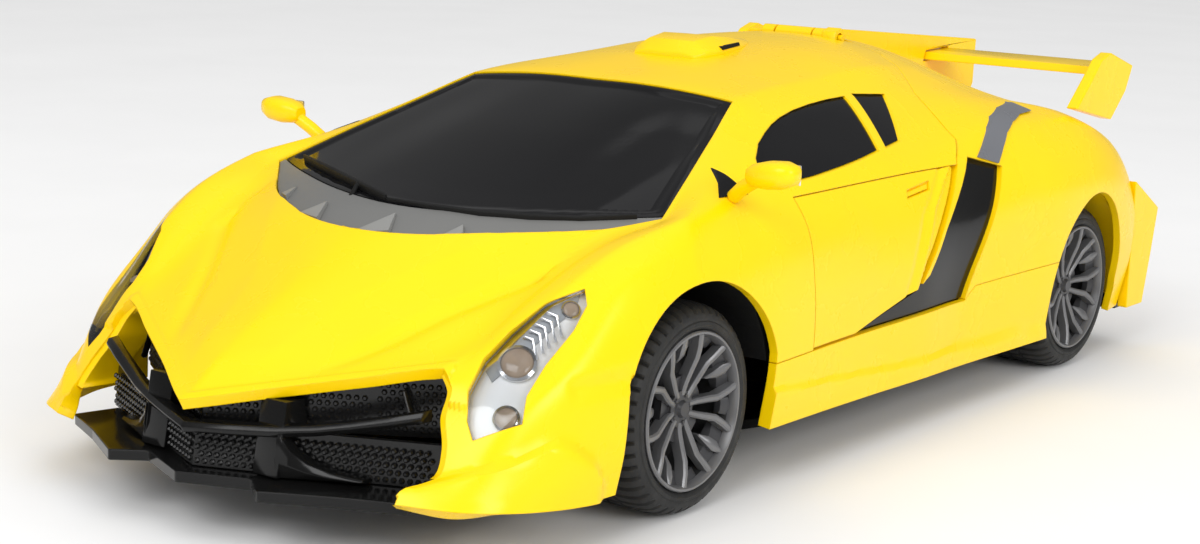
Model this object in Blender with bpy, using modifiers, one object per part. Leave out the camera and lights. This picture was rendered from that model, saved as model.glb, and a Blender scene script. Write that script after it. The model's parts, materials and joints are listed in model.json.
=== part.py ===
"""Transforming robot car: a yellow wedge-shaped toy car whose front shell lifts on a roof hinge.

The car stands on its wheels, nose towards -Y, with +X at its left side and the ground at z = 0.
Lengths are in millimetres and become metres when each mesh is finished.
"""
import math

import bmesh
import bpy
from mathutils import Matrix, Vector

MM = 0.001

# Driving dimensions, in millimetres.
TYRE_RADIUS = 17.64
RIM_RADIUS = 13.1
WHEEL_OUTER_X = 52.8
TYRE_WIDTH = 19.0
FRONT_AXLE_Y = -64.5
REAR_AXLE_Y = 80.5
AXLE_Z = TYRE_RADIUS
AXLE_RADIUS = 1.5
SKIN = 1.6
SEAM = 0.35
FLOOR_TOP = 7.6
FLOOR_BOTTOM = 5.6
HINGE = (0.0, 47.0, 69.4)
DOOR_HINGE = (54.5, -31.0, 35.0)
ELBOW = (45.0, 1.0, 33.0)
KINGPIN_X = 39.0
GEAR_MODULE = 0.6
LIFT_MODULE = 0.8

PARTS = bpy.data.collections.new("transforming_robot_car")
TOOLS = bpy.data.collections.new("cutting_tools")

# Outer skin of the body: half sections from the nose to the tail, centre line to lower edge.
BODY_SECTIONS = [
    [(0, -127, 21.5), (12, -119.5, 24), (24, -112.5, 26.5), (35, -106, 28.5), (37.2, -106.6, 26),
     (37.9, -108.9, 22.5), (40, -110.9, 18.5), (40.8, -113, 15.3), (37, -118.3, 12), (37, -119, 10.8)],
    [(0, -120, 25), (12.5, -113, 27.3), (25, -106, 29.5), (36.5, -99.5, 31.5), (40, -101.5, 30),
     (42.5, -105, 25.5), (43.5, -108.5, 20), (44, -111.5, 15), (44.5, -114, 11.6), (45, -115, 10.2)],
    [(0, -108, 32), (13, -102, 33.2), (26, -96, 35), (38, -91, 36.4), (44, -91.5, 38.5),
     (47.2, -93.8, 33.3), (49.5, -100, 26), (50.5, -102, 18), (51.2, -103, 12), (51.2, -103, 9.6)],
    [(0, -97, 38.2), (13.5, -93, 38.8), (27, -86, 40.5), (40, -78, 42.5), (46.5, -78.5, 45.2),
     (50.5, -82, 41), (53, -85, 33), (54.2, -87, 24), (54.6, -88, 15), (54, -88, 9)],
    [(0, -89, 42.9), (15, -85.5, 43.4), (30, -76.5, 45), (44, -62.6, 47.9), (49, -64, 48.8),
     (52, -66, 45), (54, -67, 39.5), (55.2, -67, 31), (55.2, -66, 20), (54, -66, 11.4)],
    [(0, -68, 50), (14, -66, 50.2), (27.5, -59, 51.2), (39.5, -49, 53.2), (44.5, -49, 52),
     (48.5, -47, 48.8), (52.5, -46, 44), (54.8, -45, 34), (55.2, -44, 21), (54, -44, 11.2)],
    [(0, -45, 58.2), (12, -43.5, 58.3), (24, -39.5, 58.2), (34.8, -35, 58.4), (41, -32, 56.2),
     (48, -28, 50), (52, -27, 44), (54, -26, 34), (54.2, -26, 20), (53.5, -26, 10.8)],
    [(0, -23.5, 64.8), (10.5, -23.3, 64.8), (21, -23, 64.2), (30.5, -22.6, 63.1), (37, -17, 60),
     (47.3, -10, 50.8), (51, -9, 45), (53.4, -8, 35), (53.6, -8, 20), (53.2, -8, 10.4)],
    [(0, 8, 68.6), (10, 8, 68.4), (20.5, 8, 67.2), (29, 8, 65.2), (35.5, 9, 61.8),
     (46, 12, 52), (50.5, 12, 46.5), (53.5, 12, 36), (53.5, 12, 22), (53.2, 12, 10)],
    [(0, 30, 70), (10, 30, 69.7), (20, 30, 68.3), (28, 30, 66), (34, 31, 62),
     (43.5, 30, 54.5), (49, 28, 50), (53, 26, 38), (53, 26, 24), (53, 26, 9.8)],
    [(0, 50, 69.6), (9.5, 50, 69.1), (18, 50, 67.4), (25.5, 50, 64.6), (32, 50, 61.2),
     (41, 51, 57.6), (47, 52, 55), (54, 50, 44), (54.5, 50, 27), (53.5, 50, 9.6)],
    [(0, 68, 66.2), (9, 68, 65.8), (17, 68, 64), (25, 68, 61.3), (34, 68, 58.4),
     (42, 68, 57), (48.5, 68, 54), (55.5, 66, 44), (56, 66, 28), (54, 66, 9.6)],
    [(0, 88, 58.3), (9, 88, 58), (18, 88, 56.8), (27, 88, 55.3), (36, 88, 54.3),
     (43.5, 88, 53.8), (49.5, 88, 51.5), (55.5, 86, 42), (56, 86, 28), (54, 86, 9.6)],
    [(0, 106, 50), (9, 106, 49.8), (18, 106, 49.2), (28, 106, 48.6), (37, 105, 48.5),
     (44, 104, 48), (49.5, 103, 45.5), (54, 102, 37), (54.5, 102, 24), (52, 102, 9.6)],
    [(0, 120, 44.5), (9, 119.8, 44.3), (18, 119, 44), (28, 117.5, 43.5), (37, 115.5, 42.6),
     (44, 113.5, 41.4), (49, 112, 38.5), (52.5, 111, 31), (52.5, 112, 20), (50, 113, 9.6)],
]
# How sharply the skin bends along each line of points: 0 is smooth, 1 is a fold.
LINE_FOLD = [0.0, 0.0, 0.0, 0.75, 0.35, 0.3, 0.1, 0.0, 0.2, 0.0]
NOSE_FOLD = [0.85, 0.7, 0.45, 0.2]
SECTION_FOLD = [0.0] * len(BODY_SECTIONS)
SECTION_FOLD[4] = 0.55
SECTION_FOLD[7] = 0.55
LAST_LINE = len(LINE_FOLD) - 1

# Outlines on the side of the car, as (y, z).
SHELL_SIDE = [(-140, -5), (-140, 95), (46.4, 95), (46.4, 67), (36, 61), (33.2, 53), (28.6, 50.2),
              (7.4, 27.6), (-15.5, 22.6), (-64, 22.6), (-64, -5)]
SKIRT_SIDE = [(-60, -5), (-60, 22.3), (28, 22.3), (32, 24.7), (66, 25.5), (66, -5)]
DOOR_SIDE = [(-31, 48.6), (26.2, 48.8), (6.6, 27.9), (-15.8, 23), (-31, 23)]
DOOR_HOLE = [(-31.5, 48.95), (34, 49.2), (34, 15), (-31.5, 15)]
DOOR_WINDOW = [(-36.4, 50.9), (-33.5, 55), (-25, 58.3), (-17, 60.2), (-5, 61.6), (8.8, 62.2),
               (5.2, 53.1), (-9, 51.8), (-31, 50.7)]
QUARTER_WINDOW = [(11.8, 62.4), (23.5, 61.6), (15, 54), (8, 53.3)]
INTAKE_SIDE = [(32.4, 50), (43, 47.4), (37.6, 38.5), (28.2, 22.9), (-12.5, 22.9), (8.2, 27.2),
               (11.5, 29.6), (18.4, 37.5)]
INTAKE_HOLE = [(32.4, 50), (43, 47.4), (37.6, 38.5), (28.2, 22.9), (28.2, 15), (-20, 15), (-20, 26),
               (9, 28.6), (11.5, 29.9), (18.4, 37.5)]
TAIL_CUT = [(106.6, -5), (106.6, 38.6), (112, 39.4), (130, 39.4), (130, -5)]
FRONT_ARCH_RADIUS = 21.6
REAR_ARCH_HALF_WIDTH = 17.3
REAR_ARCH_HEIGHT = 21.0
# Outlines on slanted panels, as points of the skin.
WINDSCREEN_EDGE = [(0, -89, 42.9), (15, -85.5, 43.4), (30, -76.5, 45), (43.6, -62.8, 47.9),
                   (39.2, -49, 53.2), (34.5, -35, 58.4), (30.3, -23, 63), (0, -24, 64.7)]
COWL_EDGE = [(0, -78, 46.7), (15, -75.4, 47), (30, -69, 47.4), (43.2, -61.6, 48.4)]
HEADLIGHT_EDGE = [(46.9, -87.4, 40.5), (48.6, -89, 38.6), (48.9, -92.6, 35.4), (48, -98, 30.8),
                  (47.6, -101.8, 26.3), (48.3, -103.5, 22.3), (43.2, -108.8, 19.9),
                  (41.3, -107.9, 22.3), (39.6, -105.5, 26), (39.4, -101.5, 30), (40.6, -97, 33.6),
                  (43.4, -92.4, 38.2)]


# How far along their normals the slanted outlines reach, to pass right through the skin.
# Front blade as (x, front y, z) from the centre outwards, and the flare at each pillar's foot as
# (x, front y, middle z, height).
FRONT_BLADE = [(0, -126.4, 17.4), (14, -120.6, 18), (25, -115.9, 19.8), (35.2, -111.2, 22.2)]
BLADE_SIZE = (2.5, 1.6)
PILLAR_FOOT = [(13.4, -120.2, 14.2, 5.8), (16.6, -118.9, 12.8, 3.0), (21, -117, 12.0, 1.5), (26.2, -114.8, 11.7, 0.8)]
GLASS_REACH = (50, 95)
LAMP_REACH = (95, 125)

# Centres of the gears, as (y, z).
PINION_TEETH = 10
COMPOUND_TEETH = 26
AXLE_TEETH = 27
SECTOR_TEETH = 40
COMPOUND_AT = (REAR_AXLE_Y - 10.9, AXLE_Z + 2.07)
MOTOR_AT = (COMPOUND_AT[0] - 10.72, COMPOUND_AT[1] - 1.3)
LIFT_CONTACT = math.radians(-103)
LIFT_REACH = (PINION_TEETH + SECTOR_TEETH) * LIFT_MODULE / 2 + 0.05
LIFT_AT = (HINGE[1] + LIFT_REACH * math.cos(LIFT_CONTACT), HINGE[2] + LIFT_REACH * math.sin(LIFT_CONTACT))


class Plane:
    """A drawing plane: outline coordinates run along a and b, and prisms along n."""

    def __init__(self, a, b, n):
        self.a = Vector(a).normalized()
        self.b = Vector(b).normalized()
        self.n = Vector(n).normalized()

    def flat(self, point):
        point = Vector(point)
        return point.dot(self.a), point.dot(self.b)

    def space(self, pair, reach):
        return self.a * pair[0] + self.b * pair[1] + self.n * reach

    def mirrored(self):
        return Plane(*[Vector((-v.x, v.y, v.z)) for v in (self.a, self.b, self.n)])


SIDE_PLANE = Plane((0, 1, 0), (0, 0, 1), (1, 0, 0))
TOP_PLANE = Plane((1, 0, 0), (0, 1, 0), (0, 0, 1))
GLASS_PLANE = Plane((1, 0, 0), (0, 0.948, 0.317), (0, -0.317, 0.948))
LAMP_PLANE = Plane((0.848, 0.53, 0), (-0.281, 0.449, 0.849), (0.45, -0.72, 0.53))


def clear_scene():
    for thing in list(bpy.data.objects):
        bpy.data.objects.remove(thing)
    bpy.context.scene.collection.children.link(PARTS)
    bpy.context.scene.collection.children.link(TOOLS)


def material(name, colour, roughness, metallic=0.0):
    made = bpy.data.materials.new(name)
    made.use_nodes = True
    shader = made.node_tree.nodes["Principled BSDF"]
    shader.inputs["Base Color"].default_value = (*colour, 1.0)
    shader.inputs["Roughness"].default_value = roughness
    shader.inputs["Metallic"].default_value = metallic
    made.diffuse_color = (*colour, 1.0)
    return made


YELLOW = (1.0, 0.78, 0.0)
BLACK = (0.012, 0.012, 0.012)
GREY = (0.2, 0.2, 0.2)
GUNMETAL = (0.13, 0.13, 0.14)
STEEL = (0.6, 0.6, 0.62)
CLEAR = (0.8, 0.82, 0.84)
RED = (0.6, 0.02, 0.02)

AXES = {}


def axis(name, place, parent=None):
    """An empty on a joint's axis; the pieces that turn or slide there hang from it."""
    empty = bpy.data.objects.new(name, None)
    empty.empty_display_size = 6 * MM
    PARTS.objects.link(empty)
    base = Vector(AXES[parent][1]) if parent else Vector((0, 0, 0))
    if parent:
        empty.parent = AXES[parent][0]
    empty.location = (Vector(place) - base) * MM
    AXES[name] = (empty, tuple(place))
    return name


def finish(bm, name, colour, roughness=0.35, metallic=0.0, hang=None, recalc=True):
    """Turn a mesh in millimetres of the whole car into an object in metres, on its axis."""
    if recalc:
        bmesh.ops.recalc_face_normals(bm, faces=bm.faces)
    origin = Vector(AXES[hang][1]) if hang else Vector((0, 0, 0))
    bmesh.ops.transform(bm, matrix=Matrix.Scale(MM, 4) @ Matrix.Translation(-origin), verts=bm.verts)
    mesh = bpy.data.meshes.new(name)
    bm.to_mesh(mesh)
    bm.free()
    thing = bpy.data.objects.new(name, mesh)
    if hang:
        thing.parent = AXES[hang][0]
    if colour is None:
        TOOLS.objects.link(thing)
        thing.hide_render = True
        thing.display_type = "WIRE"
    else:
        PARTS.objects.link(thing)
        mesh.materials.append(material(name, colour, roughness, metallic))
    return thing


def add_prism(bm, plane, outline, low, high):
    """A flat outline pushed along its plane's normal."""
    base = [bm.verts.new(plane.space(pair, low)) for pair in outline]
    face = bm.faces.new(base)
    grown = bmesh.ops.extrude_face_region(bm, geom=[face])
    tops = [item for item in grown["geom"] if isinstance(item, bmesh.types.BMVert)]
    bmesh.ops.translate(bm, vec=plane.n * (high - low), verts=tops)
    return bm


def prism(plane, outline, low, high):
    return add_prism(bmesh.new(), plane, outline, low, high)


def add_box(bm, low, high):
    made = bmesh.ops.create_cube(bm, size=1.0)
    low, high = Vector(low), Vector(high)
    size = high - low
    matrix = Matrix.Translation((low + high) / 2) @ Matrix.Diagonal((*size, 1.0))
    bmesh.ops.transform(bm, matrix=matrix, verts=made["verts"])
    return bm


def box(low, high):
    return add_box(bmesh.new(), low, high)


def add_rod(bm, start, end, radius, sides=20, end_radius=None):
    start, end = Vector(start), Vector(end)
    run = end - start
    turn = run.to_track_quat("Z", "Y").to_matrix().to_4x4()
    made = bmesh.ops.create_cone(bm, cap_ends=True, segments=sides, radius1=radius,
                                 radius2=radius if end_radius is None else end_radius,
                                 depth=run.length)
    bmesh.ops.transform(bm, matrix=Matrix.Translation((start + end) / 2) @ turn, verts=made["verts"])
    return bm


def rod(start, end, radius, sides=20):
    return add_rod(bmesh.new(), start, end, radius, sides)


def add_ball(bm, centre, radius, squash=(1, 1, 1), segments=16, rings=10):
    made = bmesh.ops.create_uvsphere(bm, u_segments=segments, v_segments=rings, radius=radius)
    matrix = Matrix.Translation(centre) @ Matrix.Diagonal((*squash, 1.0))
    bmesh.ops.transform(bm, matrix=matrix, verts=made["verts"])
    return bm


def boolean(thing, tool_mesh, operation="DIFFERENCE"):
    """Cut, join or keep with a tool mesh, as an exact Boolean modifier."""
    tool = finish(tool_mesh, f"{thing.name}_tool_{len(thing.modifiers)}", None)
    step = thing.modifiers.new(operation.lower(), "BOOLEAN")
    step.operation = operation
    step.solver = "EXACT"
    step.object = tool
    return thing


def grow(outline, distance):
    """Move every edge of a flat outline outwards by a distance (inwards if negative)."""
    count = len(outline)
    area = sum(outline[i][0] * outline[(i + 1) % count][1] - outline[(i + 1) % count][0] * outline[i][1]
               for i in range(count))
    sign = 1 if area > 0 else -1
    grown = []
    for i in range(count):
        before, here, after = (Vector(outline[(i + k) % count]) for k in (-1, 0, 1))
        first = (here - before).normalized()
        second = (after - here).normalized()
        out_first = Vector((first.y, -first.x)) * sign
        out_second = Vector((second.y, -second.x)) * sign
        bisector = (out_first + out_second).normalized()
        reach = distance / max(bisector.dot(out_first), 0.4)
        grown.append(tuple(here + bisector * reach))
    return grown


def fold_tangent(points, folds, index, side):
    """Tangent at a control point, as seen from one side of it."""
    if index == 0:
        return points[1] - points[0]
    if index == len(points) - 1:
        return points[-1] - points[-2]
    behind = points[index] - points[index - 1]
    ahead = points[index + 1] - points[index]
    len_behind = behind.length + 1e-9
    len_ahead = ahead.length + 1e-9
    smooth = (behind / len_behind * len_ahead + ahead / len_ahead * len_behind) / (len_behind + len_ahead)
    single = ahead if side > 0 else behind
    return smooth * single.length * (1 - folds[index]) + single * folds[index]


def through(points, folds, t):
    """A smooth curve through the points, folded where folds say so."""
    i = min(int(t), len(points) - 2)
    f = t - i
    start = fold_tangent(points, folds, i, 1)
    end = fold_tangent(points, folds, i + 1, -1)
    return ((2 * f ** 3 - 3 * f * f + 1) * points[i] + (f ** 3 - 2 * f * f + f) * start
            + (-2 * f ** 3 + 3 * f * f) * points[i + 1] + (f ** 3 - f * f) * end)


def full_section(index):
    half = [Vector(p) for p in BODY_SECTIONS[index]]
    return [Vector((-p.x, p.y, p.z)) for p in half[:0:-1]] + half


def section_folds(index):
    nose = NOSE_FOLD[index] if index < len(NOSE_FOLD) else 0.0
    return [nose if k == 0 else LINE_FOLD[abs(k)] for k in range(-LAST_LINE, LAST_LINE + 1)]


def spread(low, high, per_step):
    count = max(1, round((high - low) * per_step))
    return [low + (high - low) * k / count for k in range(count + 1)]


def skin_point_columns(across):
    """For each place across the car, the skin's points at every section."""
    return [[through(full_section(i), section_folds(i), v + LAST_LINE) for i in range(len(BODY_SECTIONS))]
            for v in across]


def skin_mesh(along, across, inset=0.0):
    """An open piece of the outer skin, between sections and lines of the body."""
    bm = bmesh.new()
    columns = skin_point_columns(across)
    grid = [[bm.verts.new(through(column, SECTION_FOLD, u)) for column in columns] for u in along]
    for i in range(len(along) - 1):
        for j in range(len(across) - 1):
            bm.faces.new((grid[i][j], grid[i][j + 1], grid[i + 1][j + 1], grid[i + 1][j]))
    if inset:
        bm.normal_update()
        moves = [(vert, vert.normal * inset) for vert in bm.verts]
        for vert, move in moves:
            vert.co -= move
    return bm


def skin_panel(name, along, across, colour, inset=0.0, thickness=SKIN, **look):
    """A piece of the body shell with its wall thickness added inwards."""
    thing = finish(skin_mesh(along, across, inset), name, colour, recalc=False, **look)
    wall = thing.modifiers.new("wall", "SOLIDIFY")
    wall.thickness = thickness * MM
    wall.offset = -1.0
    return thing


def side_prism(side, outline, low=30.0, high=80.0):
    plane = SIDE_PLANE if side > 0 else SIDE_PLANE.mirrored()
    return prism(plane, outline, low, high)


def front_arch_outline():
    """The wheel opening in the front wing: a round top and sides that run to the ground."""
    arc = []
    for step in range(13):
        angle = math.radians(18 + step * 12.0)
        arc.append((FRONT_AXLE_Y + FRONT_ARCH_RADIUS * math.cos(angle),
                    AXLE_Z + FRONT_ARCH_RADIUS * math.sin(angle)))
    return [(-45.4, -5)] + arc + [(-89.4, -5)]


def rear_arch_outline():
    arc = []
    for step in range(13):
        angle = math.radians(step * 15.0)
        arc.append((REAR_AXLE_Y + REAR_ARCH_HALF_WIDTH * math.cos(angle),
                    AXLE_Z + REAR_ARCH_HEIGHT * math.sin(angle)))
    return [(99.5, -5), (99.0, 15)] + arc + [(63.0, -5)]


def lamp_prism(side, gap):
    """The headlight's outline, pushed through the corner of the nose."""
    plane = LAMP_PLANE if side > 0 else LAMP_PLANE.mirrored()
    edge = [LAMP_PLANE.flat(p) for p in HEADLIGHT_EDGE]
    return prism(plane, grow(edge, gap), *LAMP_REACH)


def windscreen_outline(lower):
    """Left half from the centre to the corner and up the pillar, then mirrored."""
    half = [GLASS_PLANE.flat(p) for p in lower] + [GLASS_PLANE.flat(p) for p in WINDSCREEN_EDGE[4:]]
    half[0] = (0.0, half[0][1])
    return half + [(-a, b) for a, b in half[-2:0:-1]]


def cowl_outline():
    lower = [GLASS_PLANE.flat(p) for p in WINDSCREEN_EDGE[:4]]
    upper = [GLASS_PLANE.flat(p) for p in COWL_EDGE]
    half = lower + upper[:0:-1]
    return half + [upper[0]] + [(-a, b) for a, b in half[:0:-1]]


def build_front_shell():
    shell = skin_panel("front_shell", spread(0, 10.1, 2), spread(-LAST_LINE, LAST_LINE, 2), YELLOW,
                       roughness=0.2, hang="shell_axis")
    boolean(shell, prism(SIDE_PLANE, SHELL_SIDE, -80, 80), "INTERSECT")
    boolean(shell, prism(GLASS_PLANE, grow(windscreen_outline(WINDSCREEN_EDGE[:4]), SEAM / 2), *GLASS_REACH))
    boolean(shell, box((-12.5, 44.4, 60), (12.5, 60, 80)))
    for side in (1, -1):
        for outline in (front_arch_outline(), DOOR_HOLE, DOOR_WINDOW, QUARTER_WINDOW):
            boolean(shell, side_prism(side, outline, 28))
        boolean(shell, lamp_prism(side, SEAM / 2))


def build_glazing():
    glass = skin_panel("windscreen", spread(3.9, 7.3, 2), spread(-3.3, 3.3, 2), BLACK,
                       roughness=0.06, inset=0.3, hang="shell_axis")
    pane = grow(windscreen_outline(COWL_EDGE), -SEAM / 2)
    boolean(glass, prism(GLASS_PLANE, pane, *GLASS_REACH), "INTERSECT")
    cowl = skin_panel("windscreen_cowl", spread(3.7, 5.2, 2), spread(-3.4, 3.4, 2), GREY,
                      roughness=0.4, inset=0.3, hang="shell_axis")
    boolean(cowl, prism(GLASS_PLANE, grow(cowl_outline(), -SEAM / 2), *GLASS_REACH), "INTERSECT")
    for side, word in ((1, "left"), (-1, "right")):
        across = spread(3.1, 5.6, 2) if side > 0 else spread(-5.6, -3.1, 2)
        for name, outline, along in (("door_window", DOOR_WINDOW, spread(5.2, 8.4, 2)),
                                     ("quarter_window", QUARTER_WINDOW, spread(7.4, 9.4, 2))):
            pane = skin_panel(f"{name}_{word}", along, across, BLACK, inset=0.4, thickness=1.2,
                              roughness=0.1, hang="shell_axis")
            boolean(pane, side_prism(side, grow(outline, -SEAM)), "INTERSECT")
        across = spread(2.6, 6.9, 2) if side > 0 else spread(-6.9, -2.6, 2)
        light = skin_panel(f"headlight_{word}", spread(0.1, 3.1, 2), across, CLEAR, roughness=0.1,
                           hang="shell_axis")
        boolean(light, lamp_prism(side, -SEAM / 2), "INTERSECT")


def build_doors():
    for side, word in ((1, "left"), (-1, "right")):
        across = spread(4.6, 8.6, 2) if side > 0 else spread(-8.6, -4.6, 2)
        door = skin_panel(f"door_{word}", spread(5.1, 9.3, 2), across, YELLOW, roughness=0.2,
                          hang=f"door_{word}_axis")
        boolean(door, side_prism(side, DOOR_SIDE), "INTERSECT")
        upper = [(-27, 24.5), (-27, 42), (-20, 43), (-4.6, 40), (-4.6, 27.5), (-12, 24.5)]
        arm = finish(side_prism(side, upper, 41.5, 49.2), f"upper_arm_{word}", GREY,
                     hang=f"door_{word}_axis")
        boolean(arm, side_prism(side, [(-24, 29), (-24, 38), (-17, 38), (-17, 29)], 38, 42.4))
        fore = [(1.4, 28.4), (1.4, 41), (8, 44.4), (20.4, 44.4), (14.4, 38.6), (6, 29.6), (4.8, 28.4)]
        forearm = finish(side_prism(side, fore, 41.5, 48.2), f"forearm_{word}", BLACK,
                         hang=f"elbow_{word}_axis")
        for finger in range(3):
            back = 7.4 + finger * 3.4
            cut = side_prism(side, [(back, 41.4), (back, 48), (back + 0.9, 48), (back + 0.9, 41.4)], 40, 44)
            boolean(forearm, cut)


def build_mirrors():
    for side, word in ((1, "left"), (-1, "right")):
        bm = bmesh.new()
        add_ball(bm, (side * 56.0, -49.2, 55.2), 1.0, (4.9, 3.2, 2.5), 18, 12)
        head = finish(bm, f"mirror_{word}", YELLOW, roughness=0.2, hang="shell_axis")
        stalk = rod((side * 47.6, -49.0, 51.9), (side * 54.0, -49.3, 54.6), 1.0, 10)
        boolean(head, stalk, "UNION")


def build_roof_scoop():
    bm = bmesh.new()
    low_front, low_back, top = 4.0, 24.0, 20.5
    ring = [(-5.2, low_front + 1.5), (0, low_front), (5.2, low_front + 1.5), (6.4, low_back),
            (-6.4, low_back)]
    base = [bm.verts.new((x, y, 64.2 + 0.1 * (y - low_front))) for x, y in ring]
    upper = [bm.verts.new(place) for place in
             ((-3.6, top - 3, 71.0), (0, top - 5, 70.8), (3.6, top - 3, 71.0), (4.4, low_back - 0.5, 70.2),
              (-4.4, low_back - 0.5, 70.2))]
    bm.faces.new(base[::-1])
    bm.faces.new(upper)
    for k in range(5):
        bm.faces.new((base[k], base[(k + 1) % 5], upper[(k + 1) % 5], upper[k]))
    scoop = finish(bm, "roof_scoop", YELLOW, roughness=0.2, hang="shell_axis")
    boolean(scoop, skin_floor(7.4, 9.4, 1.2), "DIFFERENCE")


def skin_floor(low, high, across):
    """Everything under the roof skin, raised a seam's width, to seat a piece on the roof."""
    bm = skin_mesh(spread(low, high, 4), spread(-across, across, 4), -SEAM)
    made = bmesh.ops.extrude_face_region(bm, geom=list(bm.faces))
    bottoms = [item for item in made["geom"] if isinstance(item, bmesh.types.BMVert)]
    for vert in bottoms:
        vert.co.z = 40.0
    return bm


def build_rear_body():
    body = skin_panel("rear_quarter_shell", spread(7.2, 14, 2), spread(-LAST_LINE, LAST_LINE, 2), YELLOW,
                      roughness=0.2)
    front = prism(SIDE_PLANE, grow(SHELL_SIDE, SEAM + 0.25), -80, 80)
    boolean(body, front)
    boolean(body, box((-12.5, 40, 60), (12.5, 49.6, 80)))
    for side in (1, -1):
        for outline in (rear_arch_outline(), INTAKE_HOLE, grow(SKIRT_SIDE, SEAM), TAIL_CUT):
            boolean(body, side_prism(side, outline, 42, 80))
    return body


def build_side_trim():
    for side, word in ((1, "left"), (-1, "right")):
        across = spread(7.2, 9, 2) if side > 0 else spread(-9, -7.2, 2)
        skirt = skin_panel(f"side_skirt_{word}", spread(4, 12, 2), across, YELLOW, roughness=0.2)
        boolean(skirt, side_prism(side, SKIRT_SIDE), "INTERSECT")
        cuts = bmesh.new()
        plane = SIDE_PLANE if side > 0 else SIDE_PLANE.mirrored()
        for outline in (front_arch_outline(), rear_arch_outline()):
            add_prism(cuts, plane, outline, 30, 80)
        boolean(skirt, cuts)
        across = spread(5.2, 8.6, 2) if side > 0 else spread(-8.6, -5.2, 2)
        intake = skin_panel(f"side_intake_{word}", spread(5.6, 10.2, 2), across, BLACK, inset=1.0,
                            thickness=1.2, roughness=0.3)
        boolean(intake, side_prism(side, grow(INTAKE_SIDE, -SEAM)), "INTERSECT")
        winglet = [(107.2, 38), (121, 30.6), (118.6, 20), (115.8, 9.2), (107.2, 9.2)]
        finish(side_prism(side, winglet, 51.2, 53.4), f"rear_winglet_{word}", YELLOW, roughness=0.2)


def build_wing():
    fin = [(52.5, 70.3), (62, 70.1), (128.0, 64.8), (127.6, 54.2), (121.5, 45.2), (106, 50.7),
           (88, 59), (68, 66.9), (60, 68.9)]
    blade = finish(prism(SIDE_PLANE, fin, -1.2, 1.2), "shark_fin", YELLOW, roughness=0.2)
    wing = [(102.5, 61.2), (113.5, 62.2), (113.6, 63.4), (103.2, 62.9)]
    boolean(blade, prism(SIDE_PLANE, grow(wing, 0.4), -5, 5))
    finish(prism(SIDE_PLANE, wing, -44.6, 44.6), "wing_blade", YELLOW, roughness=0.2)
    plate = [(97.4, 65.2), (101.7, 66.5), (114.4, 62.9), (111.4, 57.4), (104.6, 51.5), (86.0, 55.2),
             (92, 60.4)]
    for side, word in ((1, "left"), (-1, "right")):
        made = finish(side_prism(side, plate, 44.9, 47.4), f"wing_endplate_{word}", YELLOW, roughness=0.2)
        boolean(made, skin_block(side))


def skin_block(side):
    """The rear wing's seat: all that lies under the wing's part of the skin."""
    across = spread(4, 7, 4) if side > 0 else spread(-7, -4, 4)
    bm = skin_mesh(spread(11, 14, 4), across, -SEAM)
    made = bmesh.ops.extrude_face_region(bm, geom=list(bm.faces))
    for vert in [item for item in made["geom"] if isinstance(item, bmesh.types.BMVert)]:
        vert.co.z = 0.0
        vert.co.x = side * 20.0 if abs(vert.co.x) < 46 else vert.co.x
    return bm


def add_rail(bm, stations):
    """A bar of upright rectangles; each station is its front's middle and its (depth, height)."""
    rings = []
    for (x, front, middle), (depth, height) in stations:
        rings.append([bm.verts.new((x, front + back, middle + up)) for back, up in
                      ((0, -height / 2), (0, height / 2), (depth, height / 2), (depth, -height / 2))])
    for low, high in zip(rings, rings[1:]):
        for k in range(4):
            bm.faces.new((low[k], low[(k + 1) % 4], high[(k + 1) % 4], high[k]))
    bm.faces.new(rings[0][::-1])
    bm.faces.new(rings[-1])


def build_front_bumper():
    half = [(0, -128), (11.6, -123.1), (16.6, -127), (27.6, -121), (37.4, -116.6), (34, -104)]
    outline = half + [(-x, y) for x, y in half[:0:-1]]
    finish(prism(TOP_PLANE, outline, 8.9, 10.7), "front_splitter", BLACK, roughness=0.15)
    right_half = [(-x, front, height) for x, front, height in FRONT_BLADE[:0:-1]]
    bar = bmesh.new()
    add_rail(bar, [((x, front, height), BLADE_SIZE) for x, front, height in right_half + FRONT_BLADE])
    made = finish(bar, "front_bumper_frame", BLACK, roughness=0.15)
    for side in (1, -1):
        plane = SIDE_PLANE if side > 0 else SIDE_PLANE.mirrored()
        pillar = [(-120.4, 11), (-118.8, 21.6), (-115.4, 21.6), (-113.4, 11)]
        boolean(made, prism(plane, pillar, 10.6, 15.2), "UNION")
        foot = bmesh.new()
        add_rail(foot, [((side * x, front, middle), (2.0, tall)) for x, front, middle, tall in PILLAR_FOOT])
        boolean(made, foot, "UNION")
    mesh_half = [(0, -118), (34.5, -102.4), (34.5, -100.8), (0, -116.2)]
    mesh = [mesh_half[0], mesh_half[1], mesh_half[2], mesh_half[3], (-34.5, -100.8), (-34.5, -102.4)]
    finish(prism(TOP_PLANE, mesh, 11, 21.6), "front_grille_mesh", BLACK, roughness=0.4)


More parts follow.
